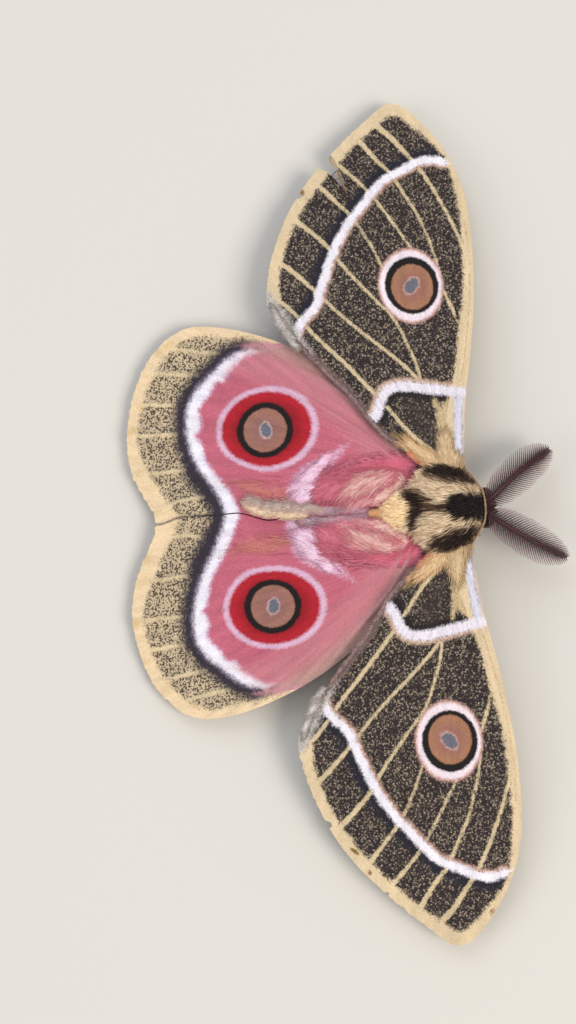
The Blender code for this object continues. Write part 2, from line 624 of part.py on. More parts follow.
def build():
    clear_scene()
    moth = new_collection("zaddach_emperor_moth")
    cutters = new_collection("cutters")
    cutters.hide_render = True

    cream_fur = material("cream_thorax_fur", "D9BE8C", 0.9)
    dark_head = material("dark_head_fur", "3A1E1F", 0.85)
    eye_dark = material("compound_eye", "140C0C", 0.25)
    antenna_brown = material("antenna_cuticle", "4A2428", 0.6)
    forewing_scales = material("forewing_scales", "3B3130", 0.85)
    hindwing_scales = material("hindwing_scales", "CC6F83", 0.85)
    abdomen_fur = material("abdomen_fur", "C9935E", 0.9)
    leg_fur = material("leg_fur", "5A2E2A", 0.85)

    thorax = ball(
        "thorax",
        moth,
        (0, THORAX_MID_Y, THORAX_MID_Z),
        (THORAX_WIDTH / 2, THORAX_LENGTH / 2, THORAX_HEIGHT / 2),
        26,
        15,
        cream_fur,
        thorax_shape,
    )
    thorax_cutter = grown(thorax, GAP, cutters)
    chance = random.Random(SEED)
    pieces = new_collection("thorax_locks")
    thorax_locks(pieces, chance)
    join_pieces(thorax, pieces)

    head = ball("head", moth, HEAD_CENTRE, HEAD_RADII, 16, 10, dark_head)
    apply_boolean(head, "DIFFERENCE", thorax_cutter)

    for side, word in ((1, "left"), (-1, "right")):
        eye_centre = (side * EYE_OUT, HEAD_CENTRE[1] - 0.7, HEAD_CENTRE[2] - 0.2)
        eye = ball("eye_" + word, moth, eye_centre, (EYE_RADIUS * 0.8, EYE_RADIUS, EYE_RADIUS * 1.1), 12, 8, eye_dark)
        apply_boolean(eye, "DIFFERENCE", thorax_cutter)
        eye_cutter = grown(eye, GAP, cutters)
        apply_boolean(head, "DIFFERENCE", eye_cutter)
    keep_largest(head)
    head_cutter = grown(head, GAP, cutters)

    rows = abdomen_path()
    abdomen = tube("abdomen", moth, [p for p, _ in rows], [r for _, r in rows], 16, abdomen_fur, flatten=0.94)
    apply_boolean(abdomen, "DIFFERENCE", thorax_cutter)
    keep_largest(abdomen)
    pieces = new_collection("abdomen_locks")
    abdomen_locks(pieces, chance)
    join_pieces(abdomen, pieces)
    flat_foot(abdomen)

    for side, word in ((1, "left"), (-1, "right")):
        name = "forewing_" + word
        tear = FOREWING_TEAR if side > 0 else None
        made = wing(
            name, moth, FOREWING_OUTLINE, FOREWING_VEINS, forewing_height, side, forewing_scales, tear
        )
        apply_boolean(made, "DIFFERENCE", thorax_cutter)
        keep_largest(made)
        name = "hindwing_" + word
        made = wing(name, moth, HINDWING_OUTLINE, HINDWING_VEINS, hindwing_height, side, hindwing_scales)
        apply_boolean(made, "DIFFERENCE", thorax_cutter)
        keep_largest(made)
        pieces = new_collection(name + "_locks")
        hindwing_locks(pieces, side, chance)
        join_pieces(made, pieces)
        made.data.shade_flat()

        # Antenna: a thin stalk with two rows of branches
        splay = math.radians(ANTENNA_SPLAY[word])
        root = Vector((side * ANTENNA_ROOT[0], ANTENNA_ROOT[1], ANTENNA_ROOT[2]))
        forward = Vector((side * math.sin(splay), -math.cos(splay), 0))
        stalk = []
        for i in range(9):
            share = i / 8
            drop = (ANTENNA_TIP_Z - ANTENNA_ROOT[2]) * (0.4 * share + 0.6 * share * share)
            out = Vector((side * 0.5 * math.sin(math.pi * share), 0, 0))
            stalk.append(root + forward * ANTENNA_LENGTH[word] * share + out + Vector((0, 0, drop)))
        name = "antenna_" + word
        antenna = tube(name, moth, stalk, [0.46 - 0.24 * i / 8 for i in range(9)], 6, antenna_brown)
        apply_boolean(antenna, "DIFFERENCE", head_cutter)
        branches = new_collection(name + "_branches")
        across = Vector((-forward.y, forward.x, 0))
        for pair in range(BRANCH_PAIRS):
            share = 0.10 + 0.86 * pair / (BRANCH_PAIRS - 1)
            at = even(stalk, 200)[round(199 * share)]
            swell = math.sin(math.pi * min(share * 0.92 + 0.16, 1.0)) ** 0.55
            for hand in (-1, 1):
                run = (across * hand * 0.80 + forward * 0.60).normalized()
                length = BRANCH_LENGTH * max(swell, 0.25)
                path = []
                for k in range(4):
                    step = k / 3
                    bend = forward * 0.5 * step * step * swell
                    droop = Vector((0, 0, 0.35 * step - 0.7 * step * step))
                    path.append(at + run * (0.12 + length * step) + bend + droop)
                tube("branch", branches, path, [BRANCH_RADIUS, BRANCH_RADIUS, 0.24, 0.1], 4)
        join_pieces(antenna, branches)

        # Legs
        for place, route in LEG_ROUTES.items():
            name = "leg_" + place + "_" + word
            path = even(spline([(side * x, y, z) for x, y, z in route], 6), 12)
            radii = []
            for i in range(12):
                at = i / 11 * 3
                k = min(int(at), 2)
                radii.append(LEG_RADII[k] + (LEG_RADII[k + 1] - LEG_RADII[k]) * (at - k))
            leg = tube(name, moth, path, radii, LEG_SIDES, leg_fur)
            apply_boolean(leg, "DIFFERENCE", thorax_cutter)
            keep_largest(leg)
            flat_foot(leg)


build()
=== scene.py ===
# The looks of a life-size male Zaddach's emperor moth, for a museum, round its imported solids
# Lengths are millimetres from the middle of the thorax until a mesh is made. The head points to -Y
# and the moth's left is +X.
import math

import bmesh
import bpy
import numpy as np
from mathutils import Matrix, Vector


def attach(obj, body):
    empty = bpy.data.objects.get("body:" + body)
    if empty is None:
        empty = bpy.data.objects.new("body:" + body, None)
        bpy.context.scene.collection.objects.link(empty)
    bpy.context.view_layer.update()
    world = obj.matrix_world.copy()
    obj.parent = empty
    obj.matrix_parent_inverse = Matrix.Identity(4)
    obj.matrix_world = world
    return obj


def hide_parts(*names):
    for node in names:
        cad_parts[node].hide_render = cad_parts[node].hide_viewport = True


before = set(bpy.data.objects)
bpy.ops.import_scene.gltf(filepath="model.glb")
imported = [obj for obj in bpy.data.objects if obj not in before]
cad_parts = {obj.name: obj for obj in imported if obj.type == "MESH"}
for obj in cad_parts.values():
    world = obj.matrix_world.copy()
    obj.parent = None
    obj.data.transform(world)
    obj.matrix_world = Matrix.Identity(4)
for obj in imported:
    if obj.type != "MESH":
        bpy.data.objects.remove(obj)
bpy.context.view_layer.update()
mm = 0.001
thoraxY = -17.6  # where the middle of the thorax lies in the solids' own frame
upward = (0.0, 0.0, 1.0)


def hexColour(text):
    # an sRGB hex value as the linear colour that a shader takes
    parts = [int(text[i:i + 2], 16) / 255 for i in (0, 2, 4)]
    return (*(p / 12.92 if p <= 0.04045 else ((p + 0.055) / 1.055) ** 2.4 for p in parts), 1.0)


def addNode(tree, kind, inputs=None, **settings):
    # adds one shader node: its settings, then its inputs as values or as links
    node = tree.nodes.new("ShaderNode" + kind)
    for key, value in settings.items():
        setattr(node, key, value)
    for key, value in (inputs or {}).items():
        if isinstance(value, bpy.types.NodeSocket):
            tree.links.new(value, node.inputs[key])
        else:
            node.inputs[key].default_value = value
    return node


def newMaterial(name, **sockets):
    # a material with its shader's own sockets set; returns it, its tree and its shader
    made = bpy.data.materials.new(name)
    made.use_nodes = True
    shader = made.node_tree.nodes["Principled BSDF"]
    for key, value in sockets.items():
        shader.inputs[key.replace("_", " ")].default_value = value
    return made, made.node_tree, shader


def deselectAll():
    for one in list(bpy.context.selected_objects):
        one.select_set(False)


def coordinates(mesh):
    found = np.empty(len(mesh.vertices) * 3)
    mesh.vertices.foreach_get("co", found)
    return found.reshape(-1, 3)


def setCoordinates(mesh, places):
    mesh.vertices.foreach_set("co", np.ascontiguousarray(places, dtype=np.float64).ravel())
    mesh.update()


def toMetres(places):
    return (np.asarray(places) + (0, thoraxY, 0)) * mm


def storeFields(mesh, fields):
    # numbers kept at each vertex for the materials: a distance in mm, or a place with three parts
    for name, values in fields.items():
        values = np.asarray(values, dtype=np.float32)
        kind, word = ("FLOAT", "value") if values.ndim == 1 else ("FLOAT_VECTOR", "vector")
        mesh.attributes.new(name, kind, "POINT").data.foreach_set(word, np.ascontiguousarray(values).ravel())


def applyModifier(obj, kind, **settings):
    deselectAll()
    bpy.context.view_layer.objects.active = obj
    obj.select_set(True)
    bpy.ops.object.modifier_add(type=kind)
    modifier = obj.modifiers[-1]
    for key, value in settings.items():
        setattr(modifier, key, value)
    bpy.ops.object.modifier_apply(modifier=modifier.name)


def finishPiece(obj, name, material, replaced=()):
    obj.name = obj.data.name = name
    obj.data.materials.clear()
    obj.data.materials.append(material)
    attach(obj, "root")
    if replaced:
        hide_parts(*replaced)
    return obj


# Camera at the photograph's angle
cameraPlan = {
    "tilt": 6.24,  # degrees that the view leans from straight above towards the head
    "roll": 3.5,
    "distance": 0.220,
    "focalPixels": 1322.9,
    "anchor": (0.0, 0.0, 8.0),  # a place on the thorax, and the pixel where the photo shows it
    "anchorPixel": (455.0, 508.2),
    "imageSize": (576, 1024),
    "sensor": 36.0,
    "middleHeight": 4.0,  # the view's middle falls on this height
}


def makeCamera(plan):
    tilt, roll = math.radians(plan["tilt"]), math.radians(plan["roll"])
    right = Vector((-math.sin(roll), -math.cos(roll), 0))
    level = Vector((math.cos(roll), -math.sin(roll), 0))
    back = Vector((0, 0, 1)) * math.cos(tilt) - level * math.sin(tilt)
    up = level * math.cos(tilt) + Vector((0, 0, 1)) * math.sin(tilt)
    wide, high = plan["imageSize"]
    px, py = plan["anchorPixel"]
    aside, above = (px - wide / 2) / plan["focalPixels"], (high / 2 - py) / plan["focalPixels"]
    ray = right * aside + up * above - back
    anchor = Vector(toMetres(plan["anchor"]))
    depth = (anchor.z - plan["distance"] * back.z - plan["middleHeight"] * mm) / ray.z
    bpy.ops.object.camera_add(location=anchor - ray * depth)
    camera = bpy.context.object
    camera.rotation_euler = Matrix((right, up, back)).transposed().to_euler()
    camera.data.sensor_fit = "VERTICAL"
    camera.data.sensor_height = plan["sensor"]
    camera.data.lens = plan["focalPixels"] * plan["sensor"] / high
    camera.data.clip_start = 0.01
    bpy.context.scene.camera = camera


deselectAll()
makeCamera(cameraPlan)

# Floor and light
studioPlan = {
    "floorSize": 4.0,
    "floorColour": "D6D2CA",
    "skyColour": "EEF2F8",
    "skyStrength": 0.53,
    "lamps": [  # place in metres, size in metres, watts, colour
        ((-0.35, -0.55, 0.75), 0.5, 6.6, "FFF6EA"),
        ((0.6, 0.25, 0.6), 0.6, 2.6, "EAF1FF"),
        ((-0.2, 0.75, 0.45), 0.5, 1.9, "FFFFFF"),
    ],
}


def makeStudio(plan):
    bpy.ops.mesh.primitive_plane_add(size=plan["floorSize"], location=(0, 0, 0))
    floor = bpy.context.object
    floor.name = "floor"
    paper, _, shader = newMaterial("matt_paper_floor", Roughness=0.9)
    shader.inputs["Base Color"].default_value = hexColour(plan["floorColour"])
    floor.data.materials.append(paper)
    world = bpy.data.worlds.new("soft_sky")
    world.use_nodes = True
    sky = world.node_tree.nodes["Background"]
    sky.inputs["Color"].default_value = hexColour(plan["skyColour"])
    sky.inputs["Strength"].default_value = plan["skyStrength"]
    bpy.context.scene.world = world
    for place, size, power, colour in plan["lamps"]:
        bpy.ops.object.light_add(type="AREA", location=place)
        lamp = bpy.context.object
        lamp.data.size, lamp.data.energy = size, power
        lamp.data.color = hexColour(colour)[:3]
        lamp.rotation_euler = (Vector((0, 0, 0)) - Vector(place)).to_track_quat("-Z", "Y").to_euler()
    bpy.context.scene.view_settings.view_transform = "Standard"


makeStudio(studioPlan)
print("camera, floor and light are in place")


# Lines and distances in the plane of a wing
def smoothLine(points, steps=8):
    # a curve through the points, with this many steps between each pair
    p = np.array(points, float)
    p = np.vstack([2 * p[0] - p[1], p, 2 * p[-1] - p[-2]])
    t = np.linspace(0, 1, steps, endpoint=False)[:, None]
    spans = [
        0.5 * (2 * b + (c - a) * t + (2 * a - 5 * b + 4 * c - d) * t**2 + (3 * b - a - 3 * c + d) * t**3)
        for a, b, c, d in zip(p, p[1:], p[2:], p[3:])
    ]
    return np.vstack([*spans, p[-2]])


def lengthsAlong(line):
    return np.r_[0, np.cumsum(np.linalg.norm(np.diff(line, axis=0), axis=1))]


def pointsAlong(line, shares):
    run = lengthsAlong(line)
    return np.column_stack([np.interp(np.asarray(shares) * run[-1], run, part) for part in line.T])


def nearest(points, line):
    # distance to a line, its side (+1 towards +X of a line that runs back), and the share along it
    run = lengthsAlong(line)
    gap, hand, share = np.full(len(points), 1e9), np.ones(len(points)), np.zeros(len(points))
    for i, (a, b) in enumerate(zip(line, line[1:])):
        step = b - a
        t = np.clip((points - a) @ step / max(step @ step, 1e-12), 0, 1)
        away = points - a - t[:, None] * step
        far = np.hypot(away[:, 0], away[:, 1])
        closer = far < gap
        gap[closer] = far[closer]
        hand[closer] = np.sign(step[1] * away[closer, 0] - step[0] * away[closer, 1])
        share[closer] = (run[i] + t[closer] * (run[i + 1] - run[i])) / run[-1]
    return gap, hand, share


def beyondLine(points, line):
    gap, hand, _ = nearest(points, smoothLine(line))
    return gap * hand


def beyondStroke(points, line, halfWidths):
    # distance outside a stroke whose half width changes evenly along it
    gap, _, share = nearest(points, smoothLine(line))
    return gap - evenly(share, halfWidths)


def beyondOval(points, centre, radii, turn=0.0):
    away = points - np.array(centre)
    c, s = math.cos(math.radians(turn)), math.sin(math.radians(turn))
    x, y = away[:, 0] * c + away[:, 1] * s, away[:, 1] * c - away[:, 0] * s
    return (np.hypot(x / radii[0], y / radii[1]) - 1) * (radii[0] + radii[1]) / 2


absent = 9.0  # mm added to a distance where its marking doesn't show


def insideRing(points, ring):
    found = np.zeros(len(points), bool)
    for a, b in zip(ring, np.roll(ring, -1, axis=0)):
        if a[1] != b[1]:
            crosses = (a[1] > points[:, 1]) != (b[1] > points[:, 1])
            found ^= crosses & (points[:, 0] < (b[0] - a[0]) * (points[:, 1] - a[1]) / (b[1] - a[1]) + a[0])
    return found


def eased(share):
    share = np.clip(share, 0, 1)
    return share * share * (3 - 2 * share)


def unitLength(vectors):
    return vectors / np.linalg.norm(vectors, axis=-1, keepdims=True)


def evenly(share, values):
    # the value at a share of the way along values that stand evenly apart
    return np.interp(share, np.linspace(0, 1, len(values)), values)


def betweenMarks(marks, y):
    # a value between marks of place and value, level at each mark
    value = np.full(np.shape(y), float(marks[0][1]))
    for (y0, v0), (y1, v1) in zip(marks, marks[1:]):
        value = np.where(y > y0, v0 + (v1 - v0) * eased((y - y0) / (y1 - y0)), value)
    return value


def ripple(points, size, seed, count=7):
    # a soft uneven swell between -1 and 1, made of a few waves about this many mm long
    draw = np.random.default_rng(seed)
    total = np.zeros(len(points))
    for _ in range(count):
        turn, length = draw.uniform(0, math.tau), size * draw.uniform(0.7, 1.5)
        wave = points @ np.array((math.cos(turn), math.sin(turn))) * math.tau / length
        total += np.sin(wave + draw.uniform(0, math.tau))
    return total / count


# The wings' shapes, as the solids have them
wingPlan = {
    "halfSpan": 70.8,
    "rootOut": 5,  # how far out the wings begin to slope down
    "rootHeight": 9.6,
    "droop": 6.4,  # how far the forewings' tips lie below their roots
    "curl": 0.5,  # how far their front and rear edges bend down
    "overlap": 1.4,  # how far the hindwings' front lies below the forewings
    "rearHeight": 2.0,
    "thickness": 0.24,
    "veinRise": 0.2,
    "sag": 0.14,  # of the membrane between its veins
    "dent": 0.16,  # height of its broad, shallow dents
    "wornTip": 58.0,  # how far out a margin is worn all the way round
    "wearSpread": 6.0,  # over how many mm the wear begins
    "sweep": {"forewing_left": 0.6, "forewing_right": -0.6, "hindwing_left": -0.9, "hindwing_right": 0.9},
    "reach": {
        "forewing_left": 1.007, "forewing_right": 0.993, "hindwing_left": 1.035, "hindwing_right": 0.965,
    },
    # heights along the ridge over the abdomen, and how far left the seam behind it lies, by place back
    "ridgeMarks": [(4.0, 7.8), (12.0, 8.7), (24.0, 8.3), (33.0, 6.6), (42.0, 4.2), (48.0, 2.9), (56.0, 2.2)],
    "ridgeWidth": 5.5,
    "seamMarks": [(30.0, 0.0), (36.0, 1.6), (45.0, 1.7), (49.0, 0.8), (56.0, 0.2)],
    "seamWidth": 8.0,
    "pleatSpan": (14, 35.2),  # where the pleat over the abdomen starts and ends
    "pleatRise": 0.75,
}


def forewingHeight(x, y):
    plan = wingPlan
    out = np.clip((np.abs(x) - plan["rootOut"]) / (plan["halfSpan"] - plan["rootOut"]), 0, 1)
    return plan["rootHeight"] - plan["droop"] * out**1.1 - plan["curl"] * out * ((y - 9) / 18) ** 2


def hindwingHeight(x, y):
    plan = wingPlan
    front = forewingHeight(x, y) - plan["overlap"]
    panel = front + (plan["rearHeight"] - front) * eased((y - 19) / 34)
    ridge = np.exp(-((x / plan["ridgeWidth"]) ** 2))
    level = panel + (betweenMarks(plan["ridgeMarks"], y) - panel) * ridge
    # the pleat lies on the left, widens backwards and ends bluntly
    start, end = plan["pleatSpan"]
    wide = 0.7 + 0.11 * np.clip(y - start, 0, 22)
    fold = np.exp(-(((x - 0.5 * wide) / (0.55 * wide)) ** 4))
    fold = fold * eased((y - start) / 8) * eased((end - y) / 0.9)
    return level + np.where(x > 0, plan["pleatRise"] * fold, 0)


def onBody(name, points, height, lift=0.0):
    # wing coordinates, out from the midline and back, to places on the body
    side = 1 if name.endswith("left") else -1
    x = side * points[:, 0] * wingPlan["reach"][name]
    y = points[:, 1] + points[:, 0] * math.tan(math.radians(wingPlan["sweep"][name]))
    if name.startswith("hindwing"):
        shift = np.exp(-((x / wingPlan["seamWidth"]) ** 2))
        x = x + betweenMarks(wingPlan["seamMarks"], points[:, 1]) * shift
    return np.column_stack([x, y, height(side * points[:, 0], points[:, 1]) + lift])


def wingSheet(outline, corners, counts):
    # a grid stretched between the four sides of an outline; its corners are the outline's points
    bpy.ops.mesh.primitive_grid_add(x_subdivisions=counts[0], y_subdivisions=counts[1], size=1)
    sheet = bpy.context.object
    steps = 8
    ring = smoothLine([*outline, outline[0]], steps)
    apex, tornus, rootBack = (steps * k for k in corners)
    front, outer = ring[:apex + 1], ring[apex:tornus + 1]
    rear, root = ring[tornus:rootBack + 1][::-1], ring[rootBack:][::-1]
    s, t = (coordinates(sheet.data)[:, :2] + 0.5).T
    s2, t2 = s[:, None], t[:, None]
    flat = (1 - t2) * pointsAlong(front, s) + t2 * pointsAlong(rear, s)
    flat += (1 - s2) * pointsAlong(root, t) + s2 * pointsAlong(outer, t)
    flat -= (1 - s2) * ((1 - t2) * front[0] + t2 * rear[0]) + s2 * ((1 - t2) * front[-1] + t2 * rear[-1])
    return sheet, flat


def cutOut(sheet, flat, gaps):
    # removes what lies inside each gap and draws the cut edge onto the gap's own outline
    doomed = np.zeros(len(flat), bool)
    for gap in gaps:
        doomed |= insideRing(flat, np.array(gap))
    work = bmesh.new()
    work.from_mesh(sheet.data)
    lost = {f for f in work.faces if all(doomed[v.index] for v in f.verts)}
    keep = np.array([not lost.issuperset(v.link_faces) for v in work.verts])
    bmesh.ops.delete(work, geom=list(lost), context="FACES")
    work.to_mesh(sheet.data)
    work.free()
    flat, doomed = flat[keep], doomed[keep]
    for i in np.flatnonzero(doomed):
        best = None
        for gap in gaps:
            ring = np.array([*gap, gap[0]])
            for a, b in zip(ring, ring[1:]):
                t = np.clip((flat[i] - a) @ (b - a) / ((b - a) @ (b - a)), 0, 1)
                near = a + t * (b - a)
                far = np.hypot(*(near - flat[i]))
                if best is None or far < best[0]:
                    best = (far, near)
        flat[i] = best[1]
    return flat


def frayed(flat, plan, side):
    # wears the wing's margin: its edge wanders a little, and less and less inwards
    ring = smoothLine(plan["outline"], 6)
    gap = nearest(flat, ring)[0]
    wander = ripple(flat, 1.6, 91 + side) + 0.8 * ripple(flat, 0.9, 95 + side)
    outwards = unitLength(flat - np.array(plan["middle"]))
    beyond = np.column_stack([flat[:, 1] - plan["frayFrom"], flat[:, 0] - wingPlan["wornTip"]])
    atMargin = eased(beyond / wingPlan["wearSpread"]).sum(axis=1)
    atEdge = np.exp(-((gap / 0.5) ** 2))
    push = plan["fray"] * wander * atEdge * np.clip(atMargin, 0, 1)
    return flat + outwards * (push - 0.3 * plan["fray"] * atEdge)[:, None]


def makeWing(name, plan, height, marks, material, relief):
    sheet, flat = wingSheet(plan["outline"], plan["corners"], plan["counts"])
    if plan["gaps"].get(name):
        flat = cutOut(sheet, flat, plan["gaps"][name])
    side = 1 if name.endswith("left") else -1
    flat = frayed(flat, plan, side)
    fields = marks(flat, side)
    fields["place"] = np.column_stack([flat, np.full(len(flat), 50.0 * side)])
    away = flat - np.array(plan["fanCentre"])
    turn = np.arctan2(away[:, 1], away[:, 0])
    fields["fan"] = np.column_stack([turn, np.hypot(*away.T), np.full(len(flat), side)])
    places = onBody(name, flat, height, relief(flat, fields, side))
    setCoordinates(sheet.data, toMetres(places))
    storeFields(sheet.data, fields)
    if sum(p.normal.z > 0 for p in sheet.data.polygons) < len(sheet.data.polygons) / 2:
        sheet.data.flip_normals()
    applyModifier(sheet, "SOLIDIFY", thickness=wingPlan["thickness"] * mm, offset=0.0, use_even_offset=False)
    sheet.data.shade_smooth()
    sheet.data.set_sharp_from_angle(angle=math.radians(55))
    return finishPiece(sheet, name + "_scaled", material, [name])


# The forewings
forewingPlan = {
    "counts": (230, 120),
    "corners": (12, 22, 32),  # the tip, the rear corner and the rear of the root, as points of the outline
    "outline": [
        (3.0, -0.6), (8.0, -1.9), (17.5, -3.2), (26.0, -4.9), (34.6, -6.3), (41.2, -6.9), (48.2, -7.0),
        (54.2, -6.5), (59.4, -5.0), (63.6, -2.9), (67.1, -0.4), (69.9, 2.2), (70.8, 4.6), (70.1, 6.5),
        (67.6, 9.5), (64.9, 12.6), (61.0, 16.6), (56.5, 20.6), (52.3, 23.4), (47.7, 25.6), (43.2, 27.2),
        (39.0, 28.1), (35.6, 28.1), (32.0, 26.0), (28.0, 22.9), (25.0, 20.5), (22.3, 18.0), (19.6, 15.6),
        (16.6, 13.7), (13.6, 11.6), (11.2, 9.0), (8.6, 6.0), (3.0, 3.4),
    ],
    "fanCentre": (4.0, 0.5),
    "middle": (38.0, 8.0),
    "fray": 0.2,  # how far the worn margin wanders, and where along the wing it starts
    "frayFrom": 22.0,
    "stains": {  # on each side: middle, radii and turn
        1: [((55.6, 21.0), (0.6, 0.5), 0)],
        -1: [((54.6, 20.4), (0.8, 0.3), -50), ((65.7, -0.9), (0.45, 0.3), 20), ((58.0, 18.3), (0.5, 0.3), 0)],
    },
    "gaps": {  # the tear in the left wing and the nicks in the margins
        "forewing_left": [
            [(63.4, 16.4), (61.9, 15.5), (60.6, 14.9), (58.9, 14.2), (57.2, 13.6), (54.9, 13.3), (56.6, 14.6),
             (58.0, 15.5), (58.9, 16.4), (59.7, 17.8), (61.0, 19.4)],
            [(55.9, 21.6), (55.0, 20.9), (54.4, 21.1), (54.6, 22.6)],
        ],
        "forewing_right": [
            [(50.9, 24.7), (50.3, 23.6), (49.7, 23.9), (49.2, 25.4)],
            [(62.3, 15.9), (61.9, 15.1), (61.2, 15.7), (61.6, 16.6)],
        ],
    },
    # veins: their line, then half widths of the pale stripe along it (below 0 where none shows)
    "veins": {
        "costa": (
            [(4.0, 0.1), (12.0, -1.2), (26.0, -3.4), (41.0, -5.3), (54.0, -4.9), (63.5, -1.2), (69.4, 4.2)],
            [-1, -1]),
        "radiusRoot": ([(4.4, 0.7), (13.0, 1.0), (18.0, 0.6), (25.0, -1.4), (30.8, -3.0)], [-1, -1]),
        "radiusCell": ([(30.6, -3.1), (33.5, -2.4), (36.4, -1.3)], [0.1, 0.3, 0.3]),
        "radius": (
            [(40.2, -0.9), (44.6, 0.0), (47.8, 1.0), (50.7, 2.0), (53.6, 3.5), (56.6, 5.0), (58.3, 6.0),
             (60.5, 7.9), (63.3, 9.9), (65.8, 11.6)],
            [0.2, 0.24, 0.3, 0.36, 0.5]),
        "radiusFront": (
            [(43.6, -5.4), (45.6, -4.9), (50.5, -3.1), (55.5, -0.9), (58.9, 1.0), (63.0, 3.9), (65.0, 5.5),
             (66.5, 7.0), (68.6, 8.3)],
            [0.3, 0.3, 0.34, 0.42, 0.6]),
        "medianFront": (
            [(43.4, 2.9), (47.4, 5.2), (50.4, 6.9), (53.3, 8.7), (55.4, 10.2), (57.3, 11.9), (59.2, 13.7),
             (61.6, 16.0)],
            [0.2, 0.24, 0.26, 0.32, 0.45]),
        "medianBack": (
            [(40.4, 8.2), (44.5, 9.8), (47.0, 11.0), (49.2, 12.2), (51.4, 13.7), (53.7, 15.7), (55.8, 17.5),
             (58.0, 19.3)],
            [0.22, 0.26, 0.32, 0.45]),
        "cubitusFront": (
            [(21.2, 3.9), (24.5, 4.5), (27.7, 5.6), (30.7, 6.7), (33.0, 8.0), (35.2, 9.9), (38.1, 12.2),
             (40.4, 14.0), (43.3, 16.1), (45.5, 17.5), (47.8, 19.6), (49.8, 21.7), (51.6, 23.7)],
            [0.26, 0.24, 0.26, 0.36, 0.5]),
        "cubitusBack": (
            [(21.3, 4.2), (23.3, 5.8), (26.0, 8.5), (28.8, 11.5), (31.5, 14.4), (34.2, 17.0), (36.6, 19.0),
             (38.2, 20.5), (40.2, 22.4), (42.3, 24.6), (44.0, 26.9)],
            [0.3, 0.28, 0.28, 0.34, 0.5]),
        "analRoot": (
            [(7.2, 1.6), (8.4, 2.6), (10.2, 4.2), (12.1, 6.1), (14.7, 8.1), (17.1, 9.8)],
            [0.9, 0.4, 0.3, 0.3]),
        "anal": (
            [(19.2, 11.4), (21.6, 13.4), (24.4, 15.7), (27.2, 18.2), (30.0, 20.7), (31.8, 22.1),
             (33.6, 23.5), (35.2, 24.9), (37.6, 27.4)],
            [0.34, 0.34, 0.34, 0.3, 0.4]),
    },
    # the pale lines across the wing, the border's inner edge and the groove behind the front margin
    "postmedian": [
        (59.5, -3.5), (59.9, -2.2), (60.0, -0.9), (59.8, 0.4), (59.0, 2.5), (57.8, 4.9), (56.8, 6.9),
        (55.4, 8.4), (53.4, 10.1), (51.4, 11.9), (49.1, 13.7), (46.8, 15.2), (44.4, 16.5), (42.1, 17.5),
        (39.8, 18.4), (37.5, 19.3), (35.6, 19.9), (34.2, 21.0), (33.1, 22.2), (31.9, 23.1), (29.8, 23.9),
    ],
    "antemedian": [
        (18.9, -2.6), (19.2, -0.6), (19.5, 1.0), (19.9, 3.1), (20.3, 5.0), (20.5, 7.0), (20.3, 8.8),
        (19.4, 10.1), (17.9, 10.8), (16.3, 11.5), (15.2, 12.5), (15.0, 13.6),
    ],
    "border": [
        (20.6, -1.2), (25.0, -2.3), (30.0, -3.1), (35.0, -4.3), (40.0, -4.9), (45.0, -5.1), (50.0, -5.2),
        (55.0, -4.7), (58.0, -4.2), (60.5, -3.6), (63.0, -1.7), (65.5, 0.6), (67.6, 2.8), (68.4, 4.2),
        (68.1, 5.4), (66.6, 7.2), (64.9, 9.4), (62.8, 11.8), (60.0, 14.6), (57.2, 17.2), (54.2, 19.6),
        (50.6, 22.0), (46.8, 23.9), (43.0, 25.2), (39.6, 25.9), (36.6, 25.9), (33.5, 27.2), (31.0, 30.0),
    ],
    "costaGroove": [
        (19.6, -2.3), (25.0, -3.7), (30.0, -4.7), (36.0, -5.7), (42.0, -6.2), (47.0, -6.1), (51.5, -5.6),
    ],
    # other markings: their line and its half widths
    "strokes": {
        "costalStrip": ([(7.2, -0.8), (11.0, -1.25), (15.0, -1.75), (18.9, -2.15)], [0.55, 0.7, 0.75]),
        "costalEdge": ([(6.0, -1.5), (11.0, -2.4), (15.0, -2.95), (20.0, -3.65)], [0.5, 0.55, 0.6]),
        "basalStreak": (
            [(7.6, 0.5), (10.5, 0.6), (13.6, 0.9), (16.4, 0.4), (17.6, -0.6)],
            [1.2, 1.1, 0.9, 0.4]),
        "basalTongue": ([(13.0, 0.9), (15.5, 1.3), (18.0, 2.0)], [0.9, 0.25]),
        "rootShade": ([(10.5, 2.6), (13.5, 3.8), (17.0, 5.6)], [1.2, 2.2, 2.4]),
        "emberHair": ([(8.3, 3.3), (9.2, 4.8), (10.4, 6.6), (12.4, 9.4)], [0.7, 0.7, 0.35]),
        "tornusHair": ([(27.0, 23.0), (30.5, 25.4), (33.6, 27.2), (37.0, 28.2)], [1.4, 1.9, 2.2, 1.2]),
        "innerHair": (
            [(9.6, 7.0), (13.6, 11.9), (19.6, 15.9), (25.0, 20.8), (29.0, 24.0)],
            [0.5, 0.9, 1.1, 1.3]),
    },
    # the eyespot: its middle, and for each ring the place from there, the radii and the turn
    "eye": (37.7, 3.7),
    "eyeRings": {
        "eyeRing": ((0.0, 0.3), (6.6, 5.5), 0),
        "eyeBlack": ((0.05, 0.15), (5.0, 4.5), 0),
        "eyeDisc": ((-0.2, 0.1), (4.0, 3.5), 0),
        "eyeWindow": ((0.0, 0.2), (1.5, 1.0), -38),
    },
}


def plannedMarks(flat, plan):
    # distances beyond the markings that a plan gives as strokes or as the eyespot's rings
    found = {key: beyondStroke(flat, *stroke) for key, stroke in plan["strokes"].items()}
    for key, (shift, radii, turn) in plan["eyeRings"].items():
        found[key] = beyondOval(flat, np.array(plan["eye"]) + shift, radii, turn)
    return found


